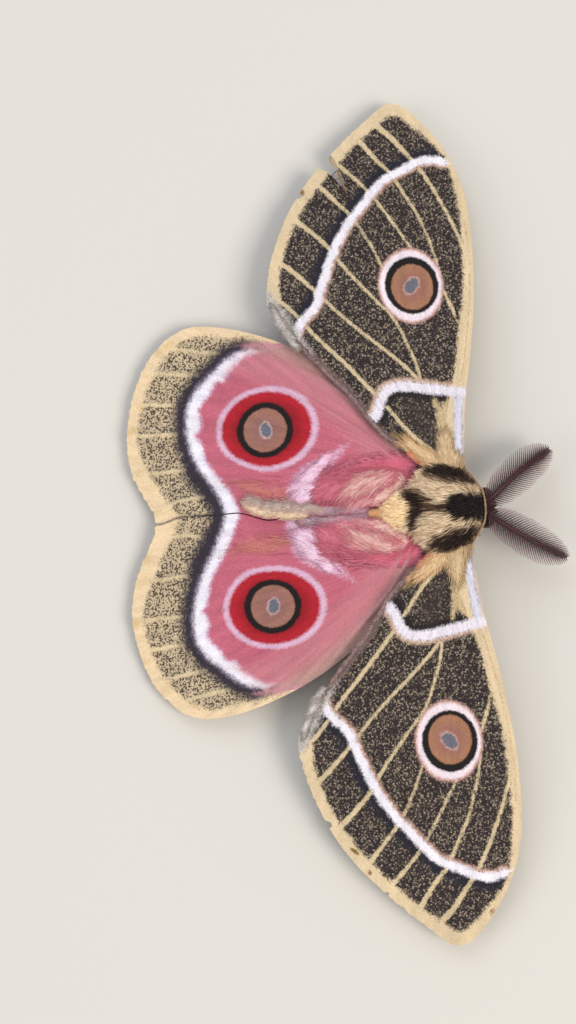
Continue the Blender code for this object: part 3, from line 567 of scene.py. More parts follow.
def forewingMarks(flat, side):
    plan = forewingPlan
    veins = [beyondStroke(flat, *vein) for vein in plan["veins"].values()]
    bends = ripple(flat, 3.0, 5) * 0.12
    found = plannedMarks(flat, plan)
    found["basalStreak"] = np.minimum(found["basalStreak"], found.pop("basalTongue"))
    return found | {
        "toVein": np.minimum.reduce(veins),
        "postmedian": beyondLine(flat, plan["postmedian"]) + bends,
        "antemedian": beyondLine(flat, plan["antemedian"]) + bends,
        "toBorder": -beyondLine(flat, plan["border"]),
        "costaGroove": nearest(flat, smoothLine(plan["costaGroove"]))[0],
        "stain": np.minimum.reduce([beyondOval(flat, *oval) for oval in plan["stains"][side]]),
    }


def veinRelief(flat, veins, halfWidth=0.42):
    # height of the veins over the membrane, which sags a little between them
    gap = np.minimum.reduce([nearest(flat, smoothLine(line))[0] for line in veins])
    sag = wingPlan["sag"] * (1 - np.exp(-((gap / 2.2) ** 2)))
    return wingPlan["veinRise"] * np.exp(-((gap / halfWidth) ** 2)) - sag


def forewingRelief(flat, fields, side):
    veins = [line for line, _ in forewingPlan["veins"].values()]
    rise = veinRelief(flat, veins) + wingPlan["dent"] * ripple(flat, 15.0, 21 + side)
    rise += 0.12 * ripple(flat, 4.0, 31 + side) * eased((1.5 - fields["toBorder"]) / 2.5)
    return rise - 0.08 * eased(-fields["eyeWindow"])


# The hindwings
hindwingPlan = {
    "counts": (190, 140),
    "corners": (8, 21, 27),
    "outline": [
        (4.2, 4.6), (9.0, 6.4), (16.0, 11.0), (21.6, 16.4), (25.8, 21.8), (28.6, 26.6), (30.6, 31.2),
        (32.2, 35.9), (32.9, 39.6), (32.9, 42.8), (31.8, 45.8), (29.6, 48.4), (26.5, 50.8), (22.6, 52.5),
        (18.7, 53.5), (15.6, 53.9), (12.0, 53.8), (8.8, 53.1), (6.0, 51.9), (3.8, 50.8), (1.6, 49.6),
        (0.05, 48.7), (0.05, 40.0), (0.05, 30.0), (0.1, 15.8), (0.95, 13.6), (1.5, 11.0), (2.4, 7.6),
    ],
    "fanCentre": (6.4, 5.0),
    "middle": (14.0, 30.0),
    "fray": 0.2,
    "frayFrom": 38.0,
    "gaps": {},
    "veins": {
        "subcosta": [
            (5.0, 6.4), (14.0, 11.8), (22.0, 20.4), (26.8, 31.0), (28.4, 40.0), (29.4, 44.5), (30.3, 47.7),
        ],
        "radius": [(5.0, 7.0), (12.0, 13.4), (19.4, 24.0), (23.6, 36.0), (25.0, 44.0), (26.2, 51.0)],
        "medianFront": [(12.0, 13.4), (16.6, 22.4), (19.4, 36.0), (20.2, 46.0), (20.8, 53.0)],
        "medianBack": [(10.4, 15.6), (13.0, 23.0), (15.0, 38.0), (15.3, 46.0), (15.6, 53.8)],
        "cubitusFront": [(10.4, 15.6), (9.8, 25.0), (9.2, 38.0), (8.9, 45.0), (9.1, 53.1)],
        "cubitusBack": [(4.8, 8.0), (5.4, 20.0), (4.2, 36.0), (3.0, 44.0), (2.6, 50.1)],
    },
    # the two edges of the white band, the border's inner edge and the front margin
    "bandInner": [
        (-2.0, 34.9), (0.0, 35.3), (3.5, 36.6), (6.0, 38.0), (8.9, 40.0), (10.6, 40.8), (12.7, 41.1),
        (13.8, 41.6), (14.7, 42.3), (15.6, 41.5), (17.1, 41.2), (18.8, 41.6), (20.2, 40.7), (21.6, 39.5),
        (23.4, 38.3), (23.5, 37.2), (25.1, 35.8), (27.0, 33.0), (27.9, 29.9), (28.0, 28.6),
    ],
    "bandOuter": [
        (-2.0, 37.9), (1.2, 38.5), (4.2, 39.8), (6.8, 41.3), (9.0, 42.5), (11.5, 43.5), (14.7, 44.2),
        (17.3, 44.3), (20.2, 43.8), (23.0, 42.0), (25.0, 39.7), (27.6, 36.6), (29.0, 32.5), (28.9, 29.4),
    ],
    "border": [
        (0.0, 45.3), (2.2, 46.3), (4.3, 47.8), (7.2, 49.2), (10.8, 51.0), (14.5, 51.9), (18.0, 51.6),
        (22.4, 50.3), (26.0, 48.5), (28.9, 46.0), (30.7, 43.4), (31.3, 40.5), (30.6, 37.0), (29.7, 33.5),
        (28.9, 30.0), (28.4, 28.0),
    ],
    "front": [(9.0, 6.4), (16.0, 11.0), (21.6, 16.4), (25.8, 21.8), (28.6, 26.6), (30.6, 31.2), (32.2, 35.9)],
    # width of the dark behind the band, by the distance from the seam
    "shadeWidth": ([0, 4, 7, 10], [0.3, 0.7, 0.8, 0]),
    "strokes": {
        "lilacStreak": (
            [(11.4, 16.8), (9.4, 19.4), (7.7, 21.5), (5.4, 23.8), (3.0, 25.0), (1.2, 25.4)],
            [-0.3, 0.35, 1.2, 2.2, 2.4, 2.0]),
        "peachZone": ([(4.0, 24.0), (4.4, 29.0), (5.0, 34.0), (6.4, 39.0)], [0.6, 2.2, 2.4, 1.2]),
        # painted shadow that the raised pleat throws beside it
        "pleatShade": ([(2.6, 22.5), (3.3, 26.5), (4.0, 30.5), (4.5, 34.0)], [0.5, 1.0, 1.1, 0.6]),
        "rootHair": ([(6.6, 6.0), (5.6, 10.0), (4.6, 15.0), (4.2, 21.0)], [1.2, 1.8, 2.8, 2.6]),
    },
    "eye": (14.6, 30.3),
    "eyeRings": {
        "eyeRing": ((0.2, -0.2), (7.0, 8.5), 0),
        "eyeRed": ((0.2, -0.1), (6.15, 7.5), 0),
        "eyeBlack": ((0.0, 0.15), (4.55, 4.7), 0),
        "eyeDisc": ((0.0, 0.1), (3.6, 3.6), 0),
        "eyeWindow": ((0.0, 0.0), (1.15, 0.85), 12),
    },
}


def hindwingMarks(flat, side):
    plan = hindwingPlan
    veins = [nearest(flat, smoothLine(line))[0] for line in plan["veins"].values()]
    bends = ripple(flat, 2.4, 8) * 0.1
    bandInner = bends - beyondLine(flat, plan["bandInner"])
    bandOuter = bends - beyondLine(flat, plan["bandOuter"])
    toBorder = beyondLine(flat, plan["border"])
    toFront = nearest(flat, smoothLine(plan["front"]))[0]
    nearFront = 3.0 - 1.2 * toFront
    shadeWidth = np.interp(flat[:, 0], *plan["shadeWidth"])
    found = plannedMarks(flat, plan)
    # the painted shadow beside the pleat shows only on the left, where the pleat is
    found["pleatShade"] += absent * (side < 0)
    return found | {
        "toVein": np.minimum.reduce(veins),
        "toBorder": toBorder,
        "smudge": np.maximum(0.55 - ripple(flat, 4.5, 91 + side), toBorder),
        # seam: a thin line of painted shadow along each hindwing's inner edge from 35 mm back, where the two
        # wings meet
        "seam": np.abs(flat[:, 0] - 0.05) + 5.0 * (flat[:, 1] < 35.0),
        "bandInner": bandInner,
        "bandShade": np.maximum(bandOuter - shadeWidth, nearFront),
        "bandDark": np.maximum(bandOuter, nearFront),
        "bandWhite": np.maximum(bandOuter, 2.2 - 1.2 * toFront),
        "frontRim": np.maximum(toFront - 2.2, bandOuter - 0.2),
        "pinkFront": np.maximum(bandInner, toFront - 7.0),
        "pinkEdge": np.maximum(bandInner, toFront - 2.2),
    }


def hindwingRelief(flat, fields, side):
    rise = veinRelief(flat, hindwingPlan["veins"].values(), 0.4)
    rise += wingPlan["dent"] * ripple(flat, 14.0, 41 + side)
    # soft pleats that run out from the root
    rise += 0.07 * np.sin(fields["fan"][:, 0] * 46 + side) * eased((fields["fan"][:, 1] - 8) / 10)
    return rise + 0.1 * ripple(flat, 3.6, 51 + side) * eased((1.5 - fields["toBorder"]) / 2.5)


# Materials of the wings: a chitin membrane under pigmented dust scales, matt, with a faint velvet sheen.
# Each layer covers the ones before it where its field, or its field's distance from a middle value, is
# below the edge: field, middle, edge in mm, softness, raggedness, and two colours that the scales mix
wingFinish = {
    "dustSize": 0.22,  # a scale is 0.1 mm long; drawn twice as coarse, so that it shows
    "dustRelief": 0.04,
    "rimGrain": 3.2,  # uneven places to the millimetre along the markings' rims
    "dotWander": 6.0,
    "fringeGrain": (42.0, 1.1, 7.0),  # across, along and for each wing: combed scales at the markings' rims
    "streakGrain": (30.0, 0.1, 7.0),  # long streaks from the wing's root to its margin
    "streakShade": 0.2,
    "forewing": {
        "ground": ("33282A", "251C1D"),
        "dots": (0.31, 0.0, 0.155),  # spacing of the pale scales' dots, smallest and largest radius
        "layers": [
            ("speckle", None, 0.0, 0.09, 0.0, "BFB095", "8B7B67"),
            ("postmedian", 1.0, 1.2, 0.8, 1.8, "24232F", "1B1A25"),
            ("antemedian", -1.0, 1.0, 0.5, 1.2, "231C1C", "1A1515"),
            ("rootShade", None, -1.5, 3.5, 1.0, "40352F", "2E2623"),
            ("basalStreak", None, 0.0, 0.4, 1.4, "D9C29A", "B59C72"),
            ("emberHair", None, 0.0, 0.6, 0.8, "AC9156", "80693C"),
            ("innerHair", None, 0.0, 0.45, 1.2, "8F7772", "6A5653"),
            ("toVein", None, -0.05, 0.17, 0.5, "DFCBA6", "C7B088"),
            ("postmedian", -0.8, 0.35, 0.4, 0.7, "CBA491", "B88F7E"),
            ("antemedian", 1.05, 0.4, 0.4, 0.7, "D3B6A0", "BC9A86"),
            ("toBorder", None, -0.1, 0.4, 1.3, "E6D1AE", "D8BE95"),
            ("costaGroove", None, 0.0, 0.22, 0.5, "B09675", "9C8262"),
            ("stain", None, 0.0, 0.25, 0.8, "A07C4A", "7C5C36"),
            ("costalEdge", None, 0.0, 0.2, 0.5, "DFC8B2", "CDB09A"),
            ("costalStrip", None, 0.0, 0.3, 0.7, "E4E2EC", "CCCAD7"),
            ("postmedian", 0.0, 0.7, 0.34, 0.8, "FAF7FB", "E6DDE8"),
            ("antemedian", 0.0, 0.82, 0.36, 0.8, "F4EEF5", "DED3DF"),
            ("tornusHair", None, 0.0, 0.8, 1.8, "D2CBC5", "9A908A"),
            ("eyeRing", None, 0.0, 0.3, 0.6, "D3A79A", "C29489"),
            ("eyeRing", None, -0.4, 0.3, 0.5, "F8ECF1", "E6D3DB"),
            ("eyeBlack", None, 0.0, 0.2, 0.4, "130D0D", "1C1413"),
            ("eyeDisc", None, 0.0, 0.18, 0.3, "AC7C5E", "9C6C54"),
            ("eyeDisc", None, -1.3, 0.9, 0.3, "A2705F", "96665A"),
            ("eyeWindow", None, 0.3, 0.2, 0.9, "C09C92", "AF8D84"),
            ("eyeWindow", None, -0.05, 0.14, 0.9, "777480", "5C5C69"),
        ],
    },
    "hindwing": {
        "ground": ("5F5246", "41372F"),
        "worms": (0.3, 0.468),  # size of the speckles and how much of the ground they leave
        "layers": [
            ("speckle", None, 0.0, 0.055, 0.0, "D3BF9E", "B9A484"),
            ("toVein", None, 0.28, 0.22, 0.7, "E4CFA8", "D2BB94"),
            ("toBorder", None, -0.1, 0.45, 1.3, "F2DAB4", "E4C79E"),
            ("smudge", None, 0.0, 0.5, 0.6, "E2C490", "D4B07C"),
            # painted shadow: a thin dark line along the inner edge, where the two hindwings meet
            ("seam", None, 0.1, 0.3, 0.3, "3A2F33", "2C2328"),
            ("bandShade", None, 1.6, 1.1, 2.2, "3B323D", "2C242E"),
            ("bandDark", None, -0.25, 0.45, 0.9, "8F8494", "756A7C"),
            ("bandWhite", None, -0.75, 0.5, 0.9, "FBF8FC", "EAE2EF"),
            ("frontRim", None, 0.0, 0.8, 1.2, "D59AA0", "C4868E"),
            ("bandInner", None, 0.1, 0.5, 1.0, "DDB2C8", "D2A2BA"),
            ("bandInner", None, -0.3, 0.4, 0.9, "CB6E80", "BB5D70"),
            ("pinkFront", None, 0.0, 2.0, 0.8, "CC8088", "BF747F"),
            ("pinkEdge", None, 0.0, 2.0, 0.8, "C49C92", "B08A82"),
            # painted shadow beside the pleat
            ("pleatShade", None, -0.2, 1.2, 1.0, "AC5A60", "9A4A54"),
            ("peachZone", None, -1.6, 0.9, 3.0, "C97F74", "BE7068"),
            ("lilacStreak", None, 0.0, 0.9, 1.8, "E9C8DE", "DAB0CA"),
            ("rootHair", None, 0.0, 1.6, 1.6, "C0566A", "AC4458"),
            ("eyeRing", None, 0.0, 0.35, 0.6, "E2BDD2", "D6A8C2"),
            ("eyeRed", None, 0.0, 0.35, 0.5, "BC2030", "A81A26"),
            ("eyeRed", None, -1.6, 0.9, 0.5, "A01721", "8E121C"),
            ("eyeBlack", None, 0.0, 0.2, 0.4, "120B0C", "1C1213"),
            ("eyeDisc", None, 0.0, 0.18, 0.3, "A57464", "96665A"),
            ("eyeDisc", None, -1.4, 0.9, 0.3, "9C6E66", "8F635E"),
            ("eyeWindow", None, 0.28, 0.2, 0.7, "C9ABA4", "B4968F"),
            ("eyeWindow", None, 0.0, 0.14, 0.7, "747684", "5F616E"),
        ],
    },
}


def layColours(tree, colour, layers, found, ragged, mix):
    # paints layers over a colour; found holds the fields that aren't attributes
    for field, middle, edge, soft, rough, first, second in layers:
        if field not in found:
            found[field] = addNode(tree, "Attribute", attribute_name=field).outputs["Fac"]
        value = found[field]
        if middle is not None:
            away = addNode(tree, "Math", {0: value, 1: middle}, operation="SUBTRACT").outputs[0]
            value = addNode(tree, "Math", {0: away}, operation="ABSOLUTE").outputs[0]
        value = addNode(tree, "Math", {0: ragged, 1: rough, 2: value}, operation="MULTIPLY_ADD").outputs[0]
        span = {"Value": value, "From Min": edge - soft, "From Max": edge + soft}
        fade = {**span, "To Min": 1.0, "To Max": 0.0}
        cover = addNode(tree, "MapRange", fade, interpolation_type="SMOOTHSTEP").outputs[0]
        pair = {0: mix, 6: hexColour(first), 7: hexColour(second)}
        tint = addNode(tree, "Mix", pair, data_type="RGBA").outputs[2]
        colour = addNode(tree, "Mix", {0: cover, 6: colour, 7: tint}, data_type="RGBA").outputs[2]
    return colour


def wingMaterial(name, finish):
    made, tree, shader = newMaterial(name, Roughness=0.8, Sheen_Weight=0.15, Sheen_Roughness=0.45,
                                     Specular_IOR_Level=0.25)
    plan = wingFinish
    place = addNode(tree, "Attribute", attribute_name="place").outputs["Vector"]
    fan = addNode(tree, "Attribute", attribute_name="fan").outputs["Vector"]
    size = (plan["dustSize"],) * 3
    dustPlace = addNode(tree, "Mapping", {"Vector": place, "Scale": size}, vector_type="TEXTURE").outputs[0]
    dust = addNode(tree, "TexNoise", {"Vector": dustPlace, "Scale": 1.0, "Detail": 2.0}).outputs["Fac"]
    dustMix = addNode(tree, "MapRange", {"Value": dust, "From Min": 0.35, "From Max": 0.65}).outputs["Result"]
    # what makes the markings' rims ragged
    grain = {"Scale": plan["rimGrain"], "Detail": 2.0}
    fine = addNode(tree, "TexNoise", {"Vector": place, **grain}).outputs["Fac"]
    fringePlace = addNode(tree, "Mapping", {"Vector": fan, "Scale": plan["fringeGrain"]}).outputs[0]
    fringe = addNode(tree, "TexNoise", {"Vector": fringePlace, "Scale": 1.0, "Detail": 2.0}).outputs["Fac"]
    both = addNode(tree, "Math", {0: fine, 1: fringe}).outputs[0]
    ragged = addNode(tree, "Math", {0: both, 1: 1.0}, operation="SUBTRACT").outputs[0]
    if "dots" in finish:
        gap, small, large = finish["dots"]
        warp = addNode(tree, "TexNoise", {"Vector": place, "Scale": plan["dotWander"]}).outputs["Color"]
        shift = {0: warp, 1: (0.5, 0.5, 0.0), 2: place}
        bent = addNode(tree, "VectorMath", shift, operation="MULTIPLY_ADD").outputs[0]
        cells = addNode(tree, "TexVoronoi", {"Vector": bent, "Scale": 1 / gap})
        lot = addNode(tree, "SeparateColor", {0: cells.outputs["Color"]}).outputs[0]
        radius = addNode(tree, "MapRange", {"Value": lot, "To Min": small, "To Max": large}).outputs[0]
        away = addNode(tree, "Math", {0: cells.outputs["Distance"], 1: gap}, operation="MULTIPLY").outputs[0]
        speckle = addNode(tree, "Math", {0: away, 1: radius}, operation="SUBTRACT").outputs[0]
    else:
        size, cut = finish["worms"]
        spots = addNode(tree, "TexNoise", {"Vector": place, "Scale": 1 / size, "Detail": 1.0}).outputs["Fac"]
        speckle = addNode(tree, "Math", {0: cut, 1: spots}, operation="SUBTRACT").outputs[0]
    first, second = (hexColour(text) for text in finish["ground"])
    ground = addNode(tree, "Mix", {0: dustMix, 6: first, 7: second}, data_type="RGBA").outputs[2]
    colour = layColours(tree, ground, finish["layers"], {"speckle": speckle}, ragged, dustMix)
    streakPlace = addNode(tree, "Mapping", {"Vector": fan, "Scale": plan["streakGrain"]}).outputs[0]
    streak = addNode(tree, "TexNoise", {"Vector": streakPlace, "Scale": 1.0, "Detail": 3.0}).outputs["Fac"]
    span = {"From Min": 0.3, "From Max": 0.7, "To Min": 1 - plan["streakShade"], "To Max": 1.0}
    shade = addNode(tree, "MapRange", {"Value": streak, **span}).outputs[0]
    pair = {0: 1.0, 6: colour, 7: shade}
    colour = addNode(tree, "Mix", pair, data_type="RGBA", blend_type="MULTIPLY").outputs[2]
    tree.links.new(colour, shader.inputs["Base Color"])
    relief = addNode(tree, "Math", {0: streak, 1: 0.8, 2: dust}, operation="MULTIPLY_ADD").outputs[0]
    bump = addNode(tree, "Bump", {"Height": relief, "Strength": 1.0, "Distance": plan["dustRelief"] * mm})
    tree.links.new(bump.outputs[0], shader.inputs["Normal"])
    return made


forewingScales = wingMaterial("forewing_dust_scales", wingFinish["forewing"])
hindwingScales = wingMaterial("hindwing_dust_scales", wingFinish["hindwing"])
for word in ("left", "right"):
    makeWing("forewing_" + word, forewingPlan, forewingHeight, forewingMarks, forewingScales, forewingRelief)
    makeWing("hindwing_" + word, hindwingPlan, hindwingHeight, hindwingMarks, hindwingScales, hindwingRelief)
print("wings are made")


# Tufts: flat, tapered locks of hair, each a closed blade along its own line
ringShares = np.array([0.0, 0.3, 0.65, 1.0])  # where along a tuft its rings stand
bladeProfile = [0.75, 1.0, 0.7]  # share of the width at each ring but the last, which is the tip
bakeStrip = (0.0012, 0.003)  # a tuft's half width and length on the unwrap


def makeBlades(name, lines, normals, widths, fields, patches, material, slot=None, replaced=(),
               profile=bladeProfile, thick=0.35, tipScale=1.0):
    # lines: blade by ring by place in mm; normals and widths: one for each blade, or the same for all;
    # patches: where each blade's root lies on the unwrap of the surface it grows from
    count, rings = lines.shape[:2]
    along = unitLength(np.gradient(lines, axis=1))
    across = unitLength(np.cross(along, np.broadcast_to(normals, (count, 3))[:, None, :]))
    up = np.cross(across, along)
    half = (np.broadcast_to(widths, count)[:, None] * np.array(profile))[..., None] / 2
    body = slice(0, rings - 1)
    ring = np.stack([lines, lines, lines], axis=2)[:, body]
    ring[:, :, 0] -= across[:, body] * half
    ring[:, :, 1] += up[:, body] * half * 2 * thick
    ring[:, :, 2] += across[:, body] * half
    each = 3 * (rings - 1) + 1
    points = np.concatenate([ring.reshape(count, -1, 3), lines[:, -1:]], axis=1).reshape(-1, 3)
    corners = [(j, (j + 1) % 3) for j in range(3)]
    quads = [(r + j, r + k, r + 3 + k, r + 3 + j) for r in range(0, 3 * (rings - 2), 3) for j, k in corners]
    last = 3 * (rings - 2)
    ends = [(last + j, last + k, each - 1) for j, k in corners] + [(2, 1, 0)]
    starts = np.arange(count)[:, None, None] * each
    sides, caps = (starts + np.array(quads)).reshape(-1, 4), (starts + np.array(ends)).reshape(-1, 3)
    mesh = bpy.data.meshes.new(name)
    mesh.from_pydata(toMetres(points).tolist(), [], sides.tolist() + caps.tolist())
    tip = np.tile(np.r_[np.repeat(np.arange(rings - 1) / (rings - 1), 3), 1.0], count)
    repeated = {key: np.repeat(value, each, axis=0) for key, value in fields.items()}
    storeFields(mesh, {"tip": tip * tipScale, **repeated})
    spread = np.column_stack([np.r_[np.tile([-1, 0, 1], rings - 1), 0], tip[:each]]) * bakeStrip
    unwrap = np.repeat(patches, each, axis=0) + np.tile(spread, (count, 1))
    loops = np.empty(len(mesh.loops), np.int32)
    mesh.loops.foreach_get("vertex_index", loops)
    bakeMap = mesh.uv_layers.new(name="OFBake")
    bakeMap.data.foreach_set("uv", np.ascontiguousarray(unwrap[loops], np.float32).ravel())
    mesh.shade_smooth()
    made = bpy.data.objects.new(name, mesh)
    bpy.context.scene.collection.objects.link(made)
    return finishPiece(made, name, material, replaced) if slot else made


# Body: thorax, head, abdomen and legs under one skin
bodyPlan = {
    "thorax": ((0.0, 2.2, 7.4), (7.2, 6.8, 5.3)),  # middle, then half its width, length and height
    "rear": ((0.0, 7.2, 6.6), (4.6, 6.2, 4.0)),  # the rounded rear that joins the abdomen
    "head": ((0.0, -4.6, 6.0), (2.3, 1.9, 2.2)),
    "headFront": -7.3,  # as far forward as its hair reaches
    "coatDepth": 0.9,  # how far the skin lies inside the thorax's solid
    "skinDepths": {"rear": 0.5, "head": 0.3, "plate": 0.0},  # and inside the others
    "abdomen": {"start": 6.0, "end": 32.4, "radius": 3.2, "rings": 7, "flatten": 0.94, "skinDepth": 0.4},
    "plate": ((0.0, 13.3, 8.15), (0.8, 1.8, 0.85)),  # the bare plate on the first ring of the abdomen
    "legs": {  # hip, knee, ankle and toe of the left legs
        "front": [(2.2, -2.0, 4.6), (4.8, -2.6, 5.0), (4.3, -3.0, 1.4), (4.0, -4.6, 0.24)],
        "middle": [(3.4, 2.0, 3.8), (9.6, 2.6, 5.8), (11.6, 4.4, 1.4), (13.0, 7.6, 0.24)],
        "hind": [(3.2, 6.0, 3.6), (8.2, 9.8, 4.8), (9.0, 15.0, 1.4), (9.6, 19.4, 0.24)],
    },
    "legRadii": [0.8, 0.55, 0.34, 0.22],
    "palp": [(0.5, -5.2, 4.5), (0.62, -6.2, 4.2), (0.62, -6.8, 4.9)],  # the left one of the two by the mouth
    "palpRadii": [0.42, 0.42, 0.22],
    "skinGrain": 0.26,  # size of the skin's faces
}


def thoraxPlace(unit, inset=0.0):
    # the thorax's surface for unit directions: broad at the wings, narrower in front and flatter below
    x, y, z = unit.T
    narrow = 1 - 0.3 * np.maximum(-y, 0) ** 2 - 0.34 * np.maximum(y, 0) ** 2
    grow = 1 / (np.abs(x) ** 2.6 + np.abs(y) ** 2.6 + np.abs(z) ** 2.6) ** (1 / 2.6)
    tall = np.where(z > 0, 1 - 0.38 * np.maximum(y, 0) ** 1.3, 0.92)
    shaped = np.column_stack([x * grow * narrow, y * grow, z * grow * tall])
    middle, half = np.array(bodyPlan["thorax"])
    return middle + shaped * (half - inset)


def abdomenLine(share):
    # the middle line and the radius at each share of the abdomen, with a waist between its rings
    plan = bodyPlan["abdomen"]
    body = 1 - 0.16 * share - 0.62 * np.maximum(share - 0.62, 0) ** 1.5 / 0.38**1.5
    waist = 1 - 0.05 * np.cos(math.pi * share * plan["rings"]) ** 8
    back = plan["start"] + (plan["end"] - plan["start"]) * share
    return np.column_stack([0 * share, back, 4.0 - 1.3 * share]), plan["radius"] * body * waist


def shapedBall(segments, rings, shape):
    # a ball whose unit directions, with the poles along Y, are moved to places on the body in mm
    bpy.ops.mesh.primitive_uv_sphere_add(segments=segments, ring_count=rings, radius=1)
    made = bpy.context.object
    unit = coordinates(made.data)[:, (0, 2, 1)] * (1, -1, 1)
    setCoordinates(made.data, toMetres(shape(unit)))
    return made


def frames(run, share):
    # places, headings and two directions across them along a line in space
    middle = pointsAlong(run, share)
    ahead = pointsAlong(run, np.minimum(share + 0.02, 1))
    heading = unitLength(ahead - pointsAlong(run, np.maximum(share - 0.02, 0)))
    side = unitLength(np.cross(heading, (0.02, 0.01, 1.0)))
    return middle, heading, side, np.cross(side, heading)


def drawnOut(path, radii, flatten=1.0):
    # for shapedBall: draws a ball out along a path, with these radii along it
    run = smoothLine(path, 10)

    def shape(unit):
        share = np.arccos(np.clip(-unit[:, 1], -1, 1)) / math.pi
        middle, _, side, rise = frames(run, share)
        around = np.hypot(unit[:, 0], unit[:, 2])
        radius = evenly(share, radii) * np.minimum(around * 2.5, 1)
        turn = np.arctan2(unit[:, 2], unit[:, 0])
        across, up = side * np.cos(turn)[:, None], rise * (np.sin(turn) * flatten)[:, None]
        return middle + (across + up) * radius[:, None]

    return shape


def legPath(place, side):
    return np.array(bodyPlan["legs"][place]) * (side, 1, 1)


def palpPath(side):
    return np.array(bodyPlan["palp"]) * (side, 1, 1)


# Colours of the hair, the same for the skin and for the tufts over it. Each marking is a line with its half
# widths, and each layer has its marking, edge, softness, raggedness and two colours that the hairs mix
coatPlan = {
    "strokes": {
        "centreBand": ([(-0.3, -6.5), (-0.2, -0.2)], [2.3, 2.1]),
        "streak": ([(-0.4, 0.8), (-0.2, 3.2), (0.2, 5.8)], [1.0, 0.65, 0.75]),
        "brownCloud": ([(0.2, 5.4), (1.2, 5.2), (2.0, 6.2)], [0.9, 0.8, 0.8]),
        "anchor": (
            [(-2.4, 7.4), (-1.1, 6.9), (0.3, 6.2), (1.4, 6.6), (2.4, 7.7)],
            [0.5, 0.8, 1.05, 1.1, 0.75]),
        "sideStripe": (
            [(3.9, -2.6), (4.6, -1.5), (5.2, -0.4), (5.8, 2.0), (5.95, 3.9)],
            [0.45, 1.15, 1.5, 1.35, 0.7]),
        "roseRim": ([(5.7, 7.2), (4.3, 9.2), (2.5, 12.2)], [0.35, 0.55, 0.5]),
    },
    "mirrored": ("sideStripe", "roseRim"),  # on both sides
    "lowest": 6.0,  # none of these reaches further down
    "gold": ([(0.0, 8.2), (0.0, 9.6), (0.0, 12.6)], [2.2, 3.1, 1.6]),
    "bareSpot": ((0.0, 13.2), (0.68, 1.15)),
    "relief": 0.05,
    "hair": ("FFEBCA", "E2C196"),
    "layers": [
        ("brownShade", 0.0, 1.0, 1.6, "B8946E", "9A7652"),
        ("roseRim", 0.0, 0.7, 0.9, "E2AFA4", "CF8A88"),
        ("gold", 0.0, 0.6, 0.9, "FFE3B4", "F8D09A"),
        ("ringZone", -0.55, 0.35, 0.3, "A8743F", "94623A"),
        ("bellyZone", 0.0, 0.8, 0.8, "7A4A38", "67392E"),
        ("sideStripe", 0.4, 0.6, 0.9, "86684C", "6B4C38"),
        ("sideStripe", -0.1, 0.4, 0.9, "35251F", "221613"),
        ("brownCloud", 0.0, 0.7, 0.9, "8E6C4E", "6A4A35"),
        ("streak", 0.0, 0.45, 0.6, "5E4232", "3E2A20"),
        ("anchor", 0.35, 0.5, 0.6, "80603F", "634630"),
        ("anchor", -0.1, 0.4, 0.5, "38251B", "251712"),
        ("centreBand", 0.0, 0.35, 0.7, "1B1413", "2B1F1C"),
        ("headZone", 0.0, 0.2, 0.2, "4A1F28", "33131A"),
        ("bareSpot", 0.05, 0.15, 0.1, "C9966C", "B98660"),
    ],
}


def mixHex(pair, share):
    first, second = (np.array(hexColour(text)[:3]) for text in pair)
    return first + (second - first) * np.asarray(share)[:, None]


def coatTint(points, strand, stray):
    # colour at places on the body; strand and stray are the hair's own random numbers
    plan, abdomen = coatPlan, bodyPlan["abdomen"]
    x, y, z = points.T
    seen, mirrored = points[:, :2], np.column_stack([np.abs(x), y])
    fields = {}
    for key, stroke in plan["strokes"].items():
        away = beyondStroke(mirrored if key in plan["mirrored"] else seen, *stroke)
        fields[key] = away + absent * (z < plan["lowest"])
    front = (1.6 - 0.6 * np.tanh(x / 2)) * eased((-0.2 - y) / 2.2)
    fields["brownShade"] = 1.9 - 1.6 * ripple(seen, 5.0, 61) - front
    fields["gold"] = np.where(y > 15.0, -1.0, beyondStroke(mirrored, *plan["gold"]))
    share = (y - abdomen["start"]) / (abdomen["end"] - abdomen["start"])
    fields["ringZone"] = np.cos(share * abdomen["rings"] * math.tau) + absent * (y < 15.5)
    fields["bellyZone"] = z - 5.2
    fromHead = np.linalg.norm((points - bodyPlan["head"][0]) / (3.2, 3.7, 3.1), axis=1)
    fields["headZone"] = fromHead - 1 + absent * (y > -4.0)
    fields["bareSpot"] = beyondOval(seen, *plan["bareSpot"]) + absent * (z < 5.5)
    colour = mixHex(plan["hair"], strand)
    for field, edge, soft, rough, first, second in plan["layers"]:
        cover = eased((edge + soft - fields[field] + rough * stray) / (2 * soft))[:, None]
        colour = colour + (mixHex((first, second), strand) - colour) * cover
    return colour


